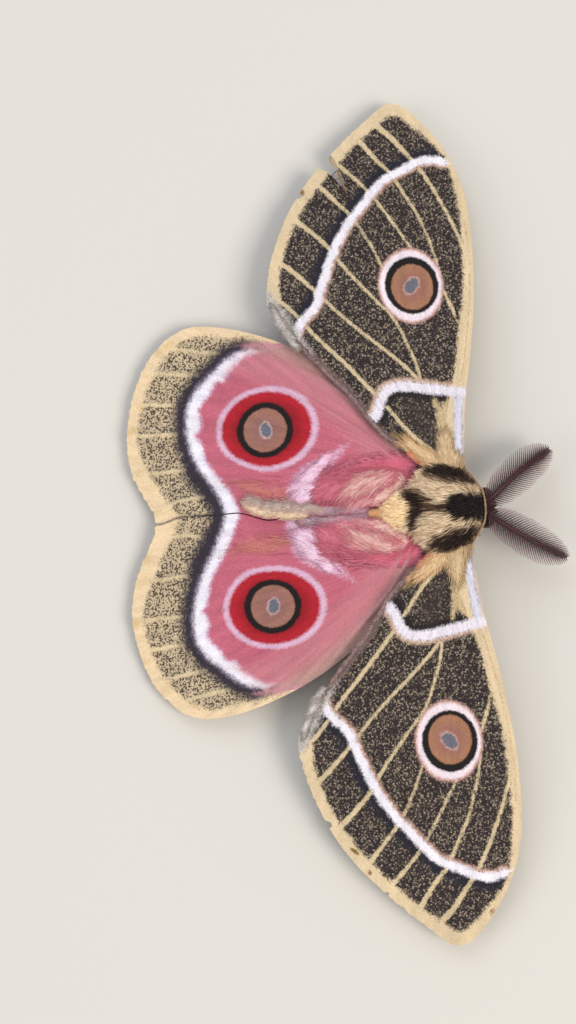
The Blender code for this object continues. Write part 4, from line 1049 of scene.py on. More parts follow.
def coatMaterial(name):
    # setae: long hair-like scales, matt with a soft sheen; painted shade darkens each hair at its root, where
    # light can't reach, and painted light brightens it towards its tip
    made, tree, shader = newMaterial(name, Roughness=0.72, Sheen_Weight=0.06, Sheen_Roughness=0.4,
                                     Specular_IOR_Level=0.18)
    place = addNode(tree, "Attribute", attribute_name="place").outputs["Vector"]
    strand = addNode(tree, "Attribute", attribute_name="strand").outputs["Fac"]
    tip = addNode(tree, "Attribute", attribute_name="tip").outputs["Fac"]
    tint = addNode(tree, "Attribute", attribute_name="tint").outputs["Vector"]
    tintEnd = addNode(tree, "Attribute", attribute_name="tintEnd").outputs["Vector"]
    # painted shade and light along each hair, from its root to its tip
    shade = addNode(tree, "MapRange", {"Value": tip, "To Min": 0.92, "To Max": 1.24}).outputs[0]
    vary = addNode(tree, "MapRange", {"Value": strand, "To Min": 1.04, "To Max": 0.92}).outputs[0]
    shade = addNode(tree, "Math", {0: shade, 1: vary}, operation="MULTIPLY").outputs[0]
    both = addNode(tree, "Mix", {0: tip, 6: tint, 7: tintEnd}, data_type="RGBA").outputs[2]
    pair = {0: 1.0, 6: both, 7: shade}
    colour = addNode(tree, "Mix", pair, data_type="RGBA", blend_type="MULTIPLY").outputs[2]
    tree.links.new(colour, shader.inputs["Base Color"])
    # single hairs too fine for the tufts, a tenth of a millimetre apart
    hair = addNode(tree, "Mapping", {"Vector": place, "Scale": (9.0, 1.4, 9.0)}).outputs[0]
    grain = addNode(tree, "TexNoise", {"Vector": hair, "Scale": 1.0, "Detail": 2.0}).outputs["Fac"]
    bump = addNode(tree, "Bump", {"Height": grain, "Strength": 1.0, "Distance": coatPlan["relief"] * mm})
    tree.links.new(bump.outputs[0], shader.inputs["Normal"])
    return made


bodySetae = coatMaterial("body_setae")
wingSetae = coatMaterial("wing_root_setae")


def makeSkin(material):
    plan = bodyPlan
    parts = [shapedBall(48, 32, lambda unit: thoraxPlace(unit, plan["coatDepth"]))]
    for key, inset in plan["skinDepths"].items():
        middle, half = np.array(plan[key])
        parts.append(shapedBall(32, 20, lambda unit: middle + unit * (half - inset)))
    path, radius = abdomenLine(np.linspace(0, 1, 60))
    abdomen = plan["abdomen"]
    parts.append(shapedBall(32, 64, drawnOut(path, radius - abdomen["skinDepth"], abdomen["flatten"])))
    for side in (1, -1):
        for place in plan["legs"]:
            parts.append(shapedBall(14, 40, drawnOut(legPath(place, side), plan["legRadii"])))
        parts.append(shapedBall(14, 24, drawnOut(palpPath(side), plan["palpRadii"])))
    deselectAll()
    for part in parts:
        part.select_set(True)
    bpy.context.view_layer.objects.active = parts[0]
    bpy.ops.object.join()
    skin = parts[0]
    applyModifier(skin, "REMESH", mode="VOXEL", voxel_size=plan["skinGrain"] * mm, adaptivity=0.0)
    applyModifier(skin, "SMOOTH", factor=0.5, iterations=3)
    places = coordinates(skin.data)
    places[:, 2] = np.maximum(places[:, 2], 0)
    setCoordinates(skin.data, places)
    points = places / mm - (0, thoraxY, 0)
    half = np.full(len(points), 0.5)
    tint = coatTint(points, half, 0 * half)
    storeFields(skin.data, {"tint": tint, "tintEnd": tint, "place": points, "tip": half, "strand": half})
    skin.data.shade_smooth()
    legs = ["leg_" + place + "_" + word for place in plan["legs"] for word in ("left", "right")]
    return finishPiece(skin, "body_skin", material, ["head", "abdomen", *legs])


makeSkin(bodySetae)
print("skin is made")

# Eyes, with rows of facets as a fine relief
eyePlan = {
    "out": 2.4,
    "back": -5.3,
    "height": 5.8,
    "radii": (1.0, 1.2, 1.35),
    "facet": 0.09,  # a facet is 0.03 mm wide; drawn three times as coarse, so that it shows
    "facetRelief": 0.02,
    "colour": "1E0F0D",
}


def eyeMiddle(side):
    return np.array((side * eyePlan["out"], eyePlan["back"], eyePlan["height"]))


def makeEyes(plan):
    # clear cuticle over dark pigment: smooth and a little glossy
    facets, tree, shader = newMaterial("compound_eye_facets", Roughness=0.3, Coat_Weight=0.12,
                                       Coat_Roughness=0.15, Specular_IOR_Level=0.3)
    shader.inputs["Base Color"].default_value = hexColour(plan["colour"])
    place = addNode(tree, "Attribute", attribute_name="place").outputs["Vector"]
    cells = addNode(tree, "TexVoronoi", {"Vector": place, "Scale": 1 / plan["facet"], "Randomness": 0.25})
    height = {"Height": cells.outputs["Distance"], "Strength": 0.6, "Distance": plan["facetRelief"] * mm}
    bump = addNode(tree, "Bump", height, invert=True)
    tree.links.new(bump.outputs[0], shader.inputs["Normal"])
    for side, word in ((1, "left"), (-1, "right")):
        eye = shapedBall(48, 32, lambda unit: eyeMiddle(side) + unit * plan["radii"])
        storeFields(eye.data, {"place": coordinates(eye.data) / mm})
        eye.data.shade_smooth()
        finishPiece(eye, "eye_" + word + "_facets", facets, ["eye_" + word])


makeEyes(eyePlan)
print("eyes are made")

# The coat's tufts: how many, their length and width in mm, how high they stand, and the radius that they
# bend round with the body
tuftPlan = {
    "thorax": {"count": 9800, "length": (1.7, 2.5), "width": 0.27, "rise": 0.8, "bend": 8.0, "seed": 3},
    "guard": {"count": 8200, "length": (2.3, 3.3), "width": 0.16, "rise": 1.1, "bend": 8.0, "seed": 8},
    "rear": {"count": 7600, "length": (1.3, 2.2), "width": 0.2, "rise": 0.3, "bend": 6.0, "seed": 9},
    "head": {"count": 5200, "length": (0.8, 1.7), "width": 0.11, "rise": 0.5, "bend": 3.4, "seed": 4},
    "palp": {"count": 420, "length": (0.5, 1.0), "width": 0.1, "rise": 0.3, "bend": 6.0, "seed": 14},
    "abdomen": {"count": 5200, "length": (1.6, 2.4), "width": 0.3, "rise": 0.42, "bend": 14.0, "seed": 5},
    "leg": {"count": 420, "length": (0.7, 1.2), "width": 0.2, "rise": 0.28, "bend": 6.0, "seed": 6},
}
rootDepth = 0.45  # how far the roots lie inside the rounded parts


def wingLevels(points):
    # the lowest height over the wings and the highest under them at which the thorax's hair clears them
    x, y = np.abs(points[:, 0]), points[:, 1]
    gap = wingPlan["thickness"] / 2 + 0.2
    fore, hind = forewingHeight(x, y), hindwingHeight(x, y)
    byFore, byHind = (x > 3.0) & (y > -2.5) & (y < 4.0 + 0.45 * x), y > 6.5
    over = np.maximum(np.where(byFore, fore + gap, 0.0), np.where(byHind, hind + gap, 0.0))
    return over, np.minimum(np.where(byFore, fore - gap, 99.0), np.where(byHind, hind - gap, 99.0))


def sprout(roots, normals, flow, length, rise, bend, levels=None):
    # lines of hair that leave the surface, lie along the flow and follow the surface's bend
    isOver = roots[:, 2] > forewingHeight(np.abs(roots[:, 0]), roots[:, 1])
    flow = unitLength(flow - normals * np.sum(flow * normals, axis=1, keepdims=True))
    rise = np.broadcast_to(rise, len(roots))
    lines = []
    for share in ringShares:
        along = (length * share)[:, None]
        lift = rise * (1 - (1 - share) ** 2.2) - 0.25 * (share == 0)
        p = roots + flow * along + normals * (lift[:, None] - along**2 / (2 * bend))
        if levels is not None and share > 0:
            over, under = levels(p)
            above, beneath = np.maximum(p[:, 2], over + 0.35 * lift), np.minimum(p[:, 2], under - 0.2 * lift)
            p[:, 2] = np.where(isOver, above, beneath)
        lines.append(p)
    return np.stack(lines, axis=1)


def goldenTurns(k):
    # angles that spread places evenly round an axis
    return k * math.pi * (3 - math.sqrt(5))


def unitSpread(count, draw):
    # directions spread evenly over a ball, with the poles along Y
    k = np.arange(count) + 0.5
    y = 1 - 2 * k / count
    turn = goldenTurns(k) + draw.uniform(-0.25, 0.25, count)
    around = np.sqrt(1 - y * y)
    return np.column_stack([np.cos(turn) * around, y, np.sin(turn) * around])


def bodyBlades(name, plan, draw, lines, normals, patches, slot, replaced=()):
    # tufts coloured by the place where they show between the ones in front
    count = len(lines)
    shown = lines[:, 1] * 0.25 + lines[:, 2] * 0.75
    # hairs that stand together are alike in colour
    strand = np.clip(0.5 + 0.9 * ripple(shown[:, :2], 1.4, 73) + draw.normal(0, 0.16, count), 0, 1)
    tint = coatTint(shown, strand, draw.normal(0, 0.35, count))
    fields = {"tint": tint, "tintEnd": tint, "strand": strand, "place": shown}
    width = plan["width"] * draw.uniform(0.7, 1.2, count)
    makeBlades(name, lines, normals, width, fields, patches * 0.98, bodySetae, slot, replaced, thick=0.22)


def thoraxCoat(name, plan, replaced=()):
    draw = np.random.default_rng(plan["seed"])
    middle, half = np.array(bodyPlan["thorax"])
    roots = thoraxPlace(unitSpread(plan["count"], draw), bodyPlan["coatDepth"])
    normals = unitLength((roots - middle) / half**2)
    keep = ((roots[:, 1] > -3.9) | (roots[:, 2] > 6.0)) & (roots[:, 2] > 2.6)
    roots, normals = roots[keep], normals[keep]
    count = len(roots)
    sideways = roots[:, 0] / half[0]
    swirl = 0.7 * ripple(roots[:, :2], 6.0, 71) + 0.5 * ripple(roots[:, :2], 2.2, 72)
    flow = np.column_stack([1.5 * sideways * np.abs(sideways) ** 0.5 + swirl * (np.abs(sideways) > 0.12),
                            np.ones(count), -0.1 + draw.normal(0, 0.08, count)])
    # in front, under the collar's rim, it hangs down
    hangs = (eased((-normals[:, 1] - 0.25) / 0.45) * eased((9.7 - roots[:, 2]) / 0.8))[:, None]
    down = np.column_stack([0.45 * sideways + 0.5 * swirl, np.full(count, -0.2), np.full(count, -1.0)])
    flow += (down - flow) * hangs
    front = eased((roots[:, 1] + 4.5) / 3.5)
    length = draw.uniform(*plan["length"], count) * (0.5 + 0.5 * front)
    rise = plan["rise"] * draw.uniform(0.6, 1.2, count) * (0.6 + 0.4 * front)
    lines = sprout(roots, normals, flow, length, rise, plan["bend"], wingLevels)
    turn = np.arctan2(roots[:, 0], roots[:, 2] - middle[2])
    patches = np.column_stack([turn / math.tau + 0.5, (roots[:, 1] + 6) / 16])
    bodyBlades(name, plan, draw, lines, normals, patches, "thorax_fur", replaced)


def rearHair(unit):
    # which directions from the rear's middle carry hair, and which way it lies
    level = 0 * unit[:, 0]
    kept = (unit[:, 2] > -0.8) & (unit[:, 1] > -0.3)
    return kept, np.column_stack([0.5 * unit[:, 0], 1 + level, -0.3 + level])


def headHair(unit):
    # it lies forward, out to the sides on top and down below
    onTop = unit[:, 2] > 0.3
    kept = (np.abs(unit[:, 0]) < 0.8 + 0.16 * onTop) & (unit[:, 1] < 0.6)
    ahead, down = -0.4 - 0.6 * np.maximum(unit[:, 2], 0), np.where(unit[:, 2] > 0.15, 0.25, -0.9)
    return kept, np.column_stack([(0.5 + 0.9 * onTop) * unit[:, 0], ahead, down])


def laidOverEyes(lines):
    # moves the hair by the eyes out of them, so that it lies over them
    for side in (1, -1):
        middle, radii = eyeMiddle(side), np.array(eyePlan["radii"]) + 0.1
        away = (lines[:, 1:] - middle) / radii
        far = np.linalg.norm(away, axis=2, keepdims=True)
        lines[:, 1:] = np.where(far < 1, middle + away / np.maximum(far, 0.2) * radii, lines[:, 1:])


def roundCoat(name, key, plan, slot, comb):
    # hair over one of the rounded parts
    draw = np.random.default_rng(plan["seed"])
    middle, half = np.array(bodyPlan[key])
    unit = unitSpread(plan["count"], draw)
    roots = middle + unit * (half - rootDepth)
    kept, flow = comb(unit)
    kept &= beyondOval(roots[:, :2], *coatPlan["bareSpot"]) > 0.0
    unit, roots, flow = unit[kept], roots[kept], flow[kept]
    count = len(unit)
    normals = unitLength(unit / half)
    flow = flow + draw.normal(0, 0.14, (count, 3))
    length = draw.uniform(*plan["length"], count) * np.where(draw.uniform(0, 1, count) < 0.25, 1.5, 1.0)
    lines = sprout(roots, normals, flow, length, plan["rise"] * draw.uniform(0.6, 1.2, count), plan["bend"])
    if key == "head":
        lines[:, :, 1] = np.maximum(lines[:, :, 1], bodyPlan["headFront"])
        laidOverEyes(lines)
    patches = np.column_stack([np.arctan2(unit[:, 0], unit[:, 2]) / math.tau + 0.5, unit[:, 1] / 2 + 0.5])
    bodyBlades(name, plan, draw, lines, normals, patches, slot)


def abdomenCoat(plan):
    draw = np.random.default_rng(plan["seed"])
    share = 0.1 + 0.88 * (np.arange(plan["count"]) + 0.5) / plan["count"]
    turn = goldenTurns(np.arange(plan["count"]))
    middle, radius = abdomenLine(share)
    normals = np.column_stack([np.cos(turn), np.zeros_like(turn), np.sin(turn)])
    roots = middle + normals * (radius - rootDepth)[:, None] * (1, 1, bodyPlan["abdomen"]["flatten"])
    bare = beyondOval(roots[:, :2], *coatPlan["bareSpot"]) + absent * (normals[:, 2] < 0) < 0.3
    roots, normals, turn, share = roots[~bare], normals[~bare], turn[~bare], share[~bare]
    count = len(roots)
    flow = np.column_stack([draw.normal(0, 0.12, count), np.ones(count), draw.normal(0, 0.1, count)])
    length = draw.uniform(*plan["length"], count) * (1 + 0.35 * eased((share - 0.8) / 0.2))
    lines = sprout(roots, normals, flow, length, plan["rise"], plan["bend"])
    lines[:, :, 2] = np.maximum(lines[:, :, 2], 0.3)
    patches = np.column_stack([(turn / math.tau) % 1, share])
    bodyBlades("abdomen_coat", plan, draw, lines, normals, patches, "abdomen_fur")


def limbCoat(name, plan, paths, radii, slot):
    # hair along legs or palps
    draw = np.random.default_rng(plan["seed"])
    share = 0.12 + 0.8 * (np.arange(plan["count"]) + 0.5) / plan["count"]
    turn = goldenTurns(np.arange(plan["count"]))
    radius = evenly(share, radii)
    parts = []
    for number, path in enumerate(paths):
        middle, heading, across, rise = frames(smoothLine(path, 10), share)
        normal = across * np.cos(turn)[:, None] + rise * np.sin(turn)[:, None]
        patch = np.column_stack([(number + (turn / math.tau) % 1 * 0.9) / len(paths), share])
        parts.append((middle + normal * (radius * 0.8)[:, None], normal, heading, patch))
    roots, normals, flows, patches = (np.vstack(part) for part in zip(*parts))
    thin = 1 - 0.55 * eased((3.0 - roots[:, 2]) / 2.5)  # shorter towards the feet
    length = draw.uniform(*plan["length"], len(roots)) * thin
    lines = sprout(roots, normals, flows, length, plan["rise"] * thin, plan["bend"])
    lines[:, :, 2] = np.maximum(lines[:, :, 2], 0.03)
    bodyBlades(name, plan, draw, lines, normals, patches, slot)


thoraxCoat("thorax_coat", tuftPlan["thorax"], ["thorax"])
thoraxCoat("thorax_guard_hair", tuftPlan["guard"])
roundCoat("rear_coat", "rear", tuftPlan["rear"], "thorax_fur", rearHair)
roundCoat("head_coat", "head", tuftPlan["head"], "head_fur", headHair)
abdomenCoat(tuftPlan["abdomen"])
legPaths = [legPath(place, side) for place in bodyPlan["legs"] for side in (1, -1)]
limbCoat("leg_coat", tuftPlan["leg"], legPaths, bodyPlan["legRadii"], "leg_fur")
limbCoat("palp_coat", tuftPlan["palp"], [palpPath(1), palpPath(-1)], bodyPlan["palpRadii"], "head_fur")

# Claws: two hooked points at the end of each foot
clawPlan = {"length": 0.62, "width": 0.15, "apart": 0.16, "colours": ("4A2A1E", "1E1210")}


def makeClaws(plan):
    # horn: hard, dark and glossy
    horn, tree, shader = newMaterial("claw_horn", Roughness=0.3, Coat_Weight=0.3)
    along = addNode(tree, "Attribute", attribute_name="tip").outputs["Fac"]
    base, end = (hexColour(text) for text in plan["colours"])
    colour = addNode(tree, "Mix", {0: along, 6: base, 7: end}, data_type="RGBA").outputs[2]
    tree.links.new(colour, shader.inputs["Base Color"])
    t = np.linspace(0, 1, 6)[:, None]
    hook = (0.1 * np.sin(math.pi * t) - 0.14 * t) * upward
    lines = []
    for place in bodyPlan["legs"]:
        for side in (1, -1):
            path = legPath(place, side)
            heading = unitLength((path[-1] - path[-2]) * (1, 1, 0))
            for hand in (-1, 1):
                across = np.array((heading[1], -heading[0], 0)) * hand * plan["apart"]
                lines.append(path[-1] + across * (0.5 + t) + heading * plan["length"] * (t - 0.1) + hook)
    count = len(lines)
    patches = np.column_stack([np.arange(count) / count, np.full(count, 0.5)])
    makeBlades("claws", np.array(lines), upward, plan["width"], {}, patches, horn, "leg_fur",
               profile=[1, 0.9, 0.75, 0.55, 0.35], thick=0.45)


makeClaws(clawPlan)
print("coat is made")

# Hair on the wings: each patch is a stroke in the wing's plane with its half widths, the number of tufts,
# their lengths and width, how high they stand, and two colours that mix, with a third at the patch's rim.
# The hair runs along the stroke, or away from a place where one is given
wingHairPlan = {
    "forewing": [
        {
            "line": [(5.4, 0.2), (7.6, 0.6), (9.2, 0.9), (10.6, 1.0)],
            "half": [1.8, 1.3, 0.8, 0.4], "count": 1200, "thin": 1.9,
            "length": (1.6, 4.0), "width": 0.12, "rise": 0.4,
            "colours": ("F8E2BC", "D8B688", "BFA27C"),
        },
        {
            "line": [(5.4, 2.2), (7.4, 3.1), (9.0, 4.6), (10.4, 6.2)],
            "half": [1.5, 1.1, 0.6, 0.3], "count": 1100, "thin": 1.7,
            "length": (1.6, 3.8), "width": 0.12, "rise": 0.35,
            "colours": ("F6E0B8", "D8B688", "D2A878"),
        },
        {
            "line": [(7.0, 3.8), (7.9, 4.9), (8.7, 6.0)],
            "half": [0.35, 0.4, 0.25], "count": 300, "length": (1.2, 2.2), "width": 0.09, "rise": 0.2,
            "colours": ("EEBE84", "E29C6C", "D87C70"),
        },
        {
            "line": [(8.0, 4.6), (9.4, 6.2), (10.8, 8.2)],
            "half": [0.3, 0.4, 0.25], "count": 300, "length": (1.2, 2.2), "width": 0.09, "rise": 0.16,
            "colours": ("EBD09A", "B99A5E", "D2A27A"),
        },
        {
            "line": [(6.4, -0.9), (10.0, -1.25), (14.0, -1.6), (17.6, -1.95)],
            "half": [0.6, 0.5, 0.5, 0.45], "count": 1300, "length": (0.6, 1.1), "width": 0.11, "rise": 0.12,
            "colours": ("F0F0F7", "D4D5E0", "CFC6D0"),
        },
        {
            "line": [(9.6, 7.2), (13.6, 11.7), (19.6, 15.8), (25.0, 20.5), (29.0, 23.7)],
            "half": [0.3, 0.3], "count": 1300, "length": (0.6, 1.1), "width": 0.11, "rise": 0.15,
            "colours": ("B89A96", "8C736F", "755F5D"),
        },
        {
            "line": [(27.6, 22.9), (30.5, 24.8), (33.4, 26.3), (35.4, 26.9)],
            "half": [0.5, 0.8, 0.7, 0.3], "count": 1100, "length": (0.8, 1.6), "width": 0.09, "rise": 0.16,
            "from": (24.0, 10.0), "colours": ("E8E2DD", "ABA19B", "9C918B"),
        },
    ],
    # deep rose at the root, cream strands over it, rose behind, fine grey hair by the seam, a lilac patch
    "hindwing": [
        {
            "line": [(7.4, 5.2), (7.2, 9.0), (6.0, 13.0), (4.8, 17.0)],
            "half": [0.8, 2.0, 2.8, 3.0], "count": 2700, "length": (2.0, 3.4), "width": 0.15, "rise": 0.14,
            "from": (6.4, 0.0), "bend": 0.15, "colours": ("D2687C", "B54E60", "CC7386"),
        },
        {
            "line": [(6.3, 7.8), (6.0, 10.6), (5.3, 13.4), (4.9, 15.6)],
            "half": [0.6, 1.2, 1.7, 2.0], "count": 1500, "length": (3.0, 6.0), "width": 0.09, "rise": 0.4,
            "from": (7.0, 2.0), "bend": 0.35, "colours": ("FFF0DE", "DE9A92", "CC6E7E"),
        },
        {
            "line": [(4.8, 14.4), (4.5, 17.4), (4.4, 20.6)],
            "half": [2.0, 2.6, 3.0], "count": 2000, "length": (2.6, 4.4), "width": 0.1, "rise": 0.3,
            "from": (6.2, 4.0), "bend": 0.5, "colours": ("DC8C96", "BC5A6A", "CC6C80"),
        },
        {
            "line": [(2.9, 12.0), (2.3, 14.6), (1.9, 17.6)],
            "half": [0.8, 1.0, 1.1], "count": 1300, "length": (1.8, 3.2), "width": 0.1, "rise": 0.3,
            "from": (4.4, 4.0), "bend": 0.3, "colours": ("EFC4BA", "CF868C", "C06A7C"),
        },
        # pale fringe where the body's golden hair meets the wing
        {
            "line": [(4.9, 7.6), (4.0, 9.0), (2.8, 10.8), (1.4, 12.9)],
            "half": [0.5, 0.9, 0.9, 0.6], "count": 900, "length": (0.9, 2.8), "width": 0.09, "rise": 0.3,
            "from": (0.8, 3.0), "colours": ("FDE6D0", "EDC0AE", "DC9C9E"),
        },
    ],
    # along the seam and from there towards the eyespot
    "inner": [
        {
            "line": [(0.7, 14.0), (0.9, 18.0), (1.0, 25.0)],
            "half": [0.5, 0.8, 0.8], "count": 2100, "length": (1.0, 2.0), "width": 0.08, "rise": 0.3,
            "from": (3.4, 4.0), "bend": 0.15, "colours": ("D6C2CC", "8E747C", "B07C86"),
        },
        {
            "line": [(9.8, 18.8), (7.8, 21.2), (5.2, 23.2), (2.4, 24.0)],
            "half": [0.15, 0.7, 1.8, 2.3], "count": 2400, "length": (1.6, 3.0), "width": 0.09, "rise": 0.2,
            "from": (7.5, 4.0), "bend": 0.25, "colours": ("FDEEF8", "E8CCE0", "DCA2BC"),
        },
        # a few long peach hairs between the eyespot and the seam
        {
            "line": [(3.6, 22.0), (4.2, 27.0), (5.4, 33.0)],
            "half": [1.2, 1.9, 2.2], "count": 90, "length": (4.0, 7.0), "width": 0.12, "rise": 0.05,
            "from": (6.0, 2.0), "colours": ("DA9A80", "CF8078", "C8667A"),
        },
    ],
    # the pleat on the left: cream along the midline, grey-brown beside it
    "pleat": [
        {
            "line": [(0.1, 23.6), (0.4, 26.4), (0.9, 29.6), (1.3, 33.4)],
            "half": [0.35, 0.5, 0.55, 0.45], "count": 1500, "length": (1.4, 2.4), "width": 0.1, "rise": 0.35,
            "colours": ("FFF0D0", "EED4AA", "DCB8A0"), "overSeam": True,
        },
        {
            "line": [(0.5, 21.0), (1.3, 24.6), (1.9, 28.4), (2.3, 33.4)],
            "half": [0.5, 0.7, 0.8, 0.9], "count": 1900, "length": (1.4, 2.4), "width": 0.1, "rise": 0.4,
            "colours": ("E6D6C6", "A8948A", "C8A29C"), "overSeam": True,
        },
    ],
}


def hairPatch(name, plan, height, draw, seed):
    count = plan["count"]
    run = smoothLine(plan["line"])
    share = draw.uniform(0, 1, count) ** plan.get("thin", 1)
    off = np.clip(draw.normal(0, 0.5, count), -1.3, 1.3)
    after = pointsAlong(run, np.minimum(share + 0.03, 1))
    heading = unitLength(after - pointsAlong(run, np.maximum(share - 0.03, 0)))
    across = np.column_stack([heading[:, 1], -heading[:, 0]])
    root = pointsAlong(run, share) + across * (off * evenly(share, plan["half"]))[:, None]
    flow = unitLength(root - plan["from"] if "from" in plan else heading + across * (0.3 * off)[:, None])
    side = np.column_stack([flow[:, 1], -flow[:, 0]])
    swirl = 0.45 * ripple(root, 3.0, seed) + draw.normal(0, 0.1, count) - plan.get("bend", 0)
    length = draw.uniform(*plan["length"], count) * (1 - 0.25 * np.abs(off))
    lift = plan["rise"] * draw.uniform(0.5, 1.2, count)
    rings = []
    for part in ringShares:
        turned = swirl * length * part * (1 + part) / 2
        flat = root + flow * (length * part)[:, None] + side * turned[:, None]
        # the hair stays on its own side of the seam, or reaches over it further forward
        least = np.interp(flat[:, 1], [27, 30], [-0.45, 0.1]) if "overSeam" in plan else 0.03
        flat[:, 0] = np.maximum(flat[:, 0], least)
        up = lift * math.sin(math.pi * min(part * 0.8 + 0.02, 1)) - 0.2 * (part == 0)
        rings.append(onBody(name, flat, height, up + wingPlan["thickness"] / 2))
    # hairs of one lock are alike: the locks follow the lie of the hair
    locks = root
    if "from" in plan:
        x, y = (root - plan["from"]).T
        locks = np.column_stack([np.arctan2(x, y) * 10, np.hypot(x, y) * 0.25])
    strand = np.clip(0.5 + 0.85 * ripple(locks, 1.1, seed + 50) + draw.normal(0, 0.2, count), 0, 1)
    nearEnd = 1 - eased(np.minimum(share, 1 - share) / 0.15)
    rim = eased(0.9 * off**2 + 0.6 * nearEnd + draw.normal(0, 0.15, count))
    tint = mixHex(plan["colours"][:2], strand)
    rimColour = np.array(hexColour(plan["colours"][2])[:3])
    tint += (rimColour - tint) * rim[:, None]
    tintEnd = tint + 0.55 * (rimColour - tint)
    widths = plan["width"] * draw.uniform(0.7, 1.3, count)
    return np.stack(rings, axis=1), tint, tintEnd, strand, widths, (root + (2, 10)) / (78, 66)


def makeWingHair(name, coats, height, seed):
    draw = np.random.default_rng(seed)
    slot = name.split("_")[0] + "_scales"
    for coat, plans in coats.items():
        parts = [hairPatch(name, plan, height, draw, seed + i) for i, plan in enumerate(plans)]
        seed += len(plans)
        lines, tints, ends, strands, widths, patches = map(np.concatenate, zip(*parts))
        fields = {"tint": tints, "tintEnd": ends, "strand": strands, "place": lines[:, 0] + 60.0}
        makeBlades(name + coat, lines, upward, widths, fields, patches, wingSetae, slot)


for seed, word in ((31, "left"), (41, "right")):
    makeWingHair("forewing_" + word, {"_hair": wingHairPlan["forewing"]}, forewingHeight, seed)
    inner = wingHairPlan["inner"] + (wingHairPlan["pleat"] if word == "left" else [])
    coats = {"_hair": wingHairPlan["hindwing"], "_inner_hair": inner}
    makeWingHair("hindwing_" + word, coats, hindwingHeight, seed + 10)


# Threads of torn membrane and vein at the tear: their lines in the wing's plane, rise, width and colour
tearPlan = [
    ([(59.4, 14.3), (58.2, 14.5), (57.0, 14.2), (55.8, 13.7), (54.4, 13.5)],
     [0.1, 0.5, 0.75, 0.6, 0.3], 0.34, "9A7040"),
    ([(59.0, 14.6), (58.4, 15.4), (57.4, 15.6), (56.3, 14.9)], [0.1, 0.3, 0.5, 0.2], 0.2, "5A4228"),
    ([(61.6, 15.7), (60.6, 15.6), (59.7, 14.9), (59.2, 13.9)], [0.1, 0.55, 0.7, 0.25], 0.42, "C49A5C"),
    ([(58.6, 16.4), (57.6, 15.7), (56.8, 15.6)], [0.1, 0.3, 0.2], 0.16, "2E221C"),
    ([(57.8, 13.9), (57.3, 14.9), (56.9, 15.9)], [0.15, 0.5, 0.35], 0.14, "3A2A1E"),
]


def makeTearThreads(plan):
    shares = np.linspace(0, 1, 9)
    places, rises, widths, colours = zip(*plan)
    lines = np.array([
        onBody("forewing_left", pointsAlong(smoothLine(line), shares), forewingHeight, evenly(shares, rise))
        for line, rise in zip(places, rises)])
    tints = np.array([hexColour(colour)[:3] for colour in colours])
    count = len(lines)
    half = np.full(count, 0.5)
    fields = {"tint": tints, "tintEnd": tints, "strand": half, "place": lines[:, 0]}
    patches = np.column_stack([np.arange(count) / count, half])
    makeBlades("forewing_left_tear_threads", lines, (0.2, 0.3, 1.0), widths, fields, patches, wingSetae,
               "forewing_scales", profile=[0.8, 1, 0.9, 0.8, 0.7, 0.6, 0.5, 0.35], thick=0.2)


makeTearThreads(tearPlan)
print("hair of the wings is made")

# Collar: short hair in the thorax's own colours, and a thin pale rim round its front edge
collarPlan = {
    "foremost": -5.05,
    "line": [(0.0, -4.8), (1.6, -4.7), (3.0, -4.3), (4.6, -3.35), (6.0, -2.35), (7.2, -1.55)],
    "ruff": {
        "count": 3600, "inset": (0.2, 1.7), "height": (9.1, 10.6), "length": (0.9, 1.6), "width": 0.11,
        "lean": (-0.35, -1.25), "seed": 12,
    },
    "rim": {
        "count": 2400, "inset": (0.12, 0.26), "height": (9.2, 9.6), "length": (0.28, 0.5), "width": 0.06,
        "lean": (0.1, 0.4), "seed": 13, "colours": ("E6CDA8", "B8946C"),
    },
}


def makeCollar(name, line, plan):
    draw = np.random.default_rng(plan["seed"])
    half = np.array(line)
    run = smoothLine(np.vstack([half[:0:-1] * (-1, 1), half]))
    count = plan["count"]
    share, part = draw.uniform(0, 1, count), draw.uniform(0, 1, count)
    flat = pointsAlong(run, share)
    out = unitLength(flat - (0.0, 5.0))
    spans = (plan[key] for key in ("inset", "height", "lean"))
    inset, height, lean = (low + (high - low) * part for low, high in spans)
    roots = np.column_stack([flat - out * inset[:, None], height])
    flow = np.column_stack([out * lean[:, None], np.full(count, 0.45)]) + draw.normal(0, 0.12, (count, 3))
    flow = unitLength(flow)
    length = draw.uniform(*plan["length"], count)
    lines = np.stack([roots + flow * (length * t)[:, None] for t in ringShares], axis=1)
    lines[:, :, 1] = np.maximum(lines[:, :, 1], collarPlan["foremost"])
    strand = draw.uniform(0, 1, count)
    if "colours" in plan:
        tint = mixHex(plan["colours"], strand)
    else:
        tint = coatTint(lines[:, 2] + upward, strand, draw.normal(0, 0.3, count))
    normals = np.column_stack([out, np.full(count, 0.3)])
    fields = {"tint": tint, "tintEnd": tint, "strand": strand, "place": roots}
    patches = np.column_stack([share, part * 0.9])
    makeBlades(name, lines, normals, plan["width"], fields, patches, bodySetae, "thorax_fur", thick=0.4)


makeCollar("collar_hair", collarPlan["line"], collarPlan["ruff"])
makeCollar("collar_rim", collarPlan["line"], collarPlan["rim"])

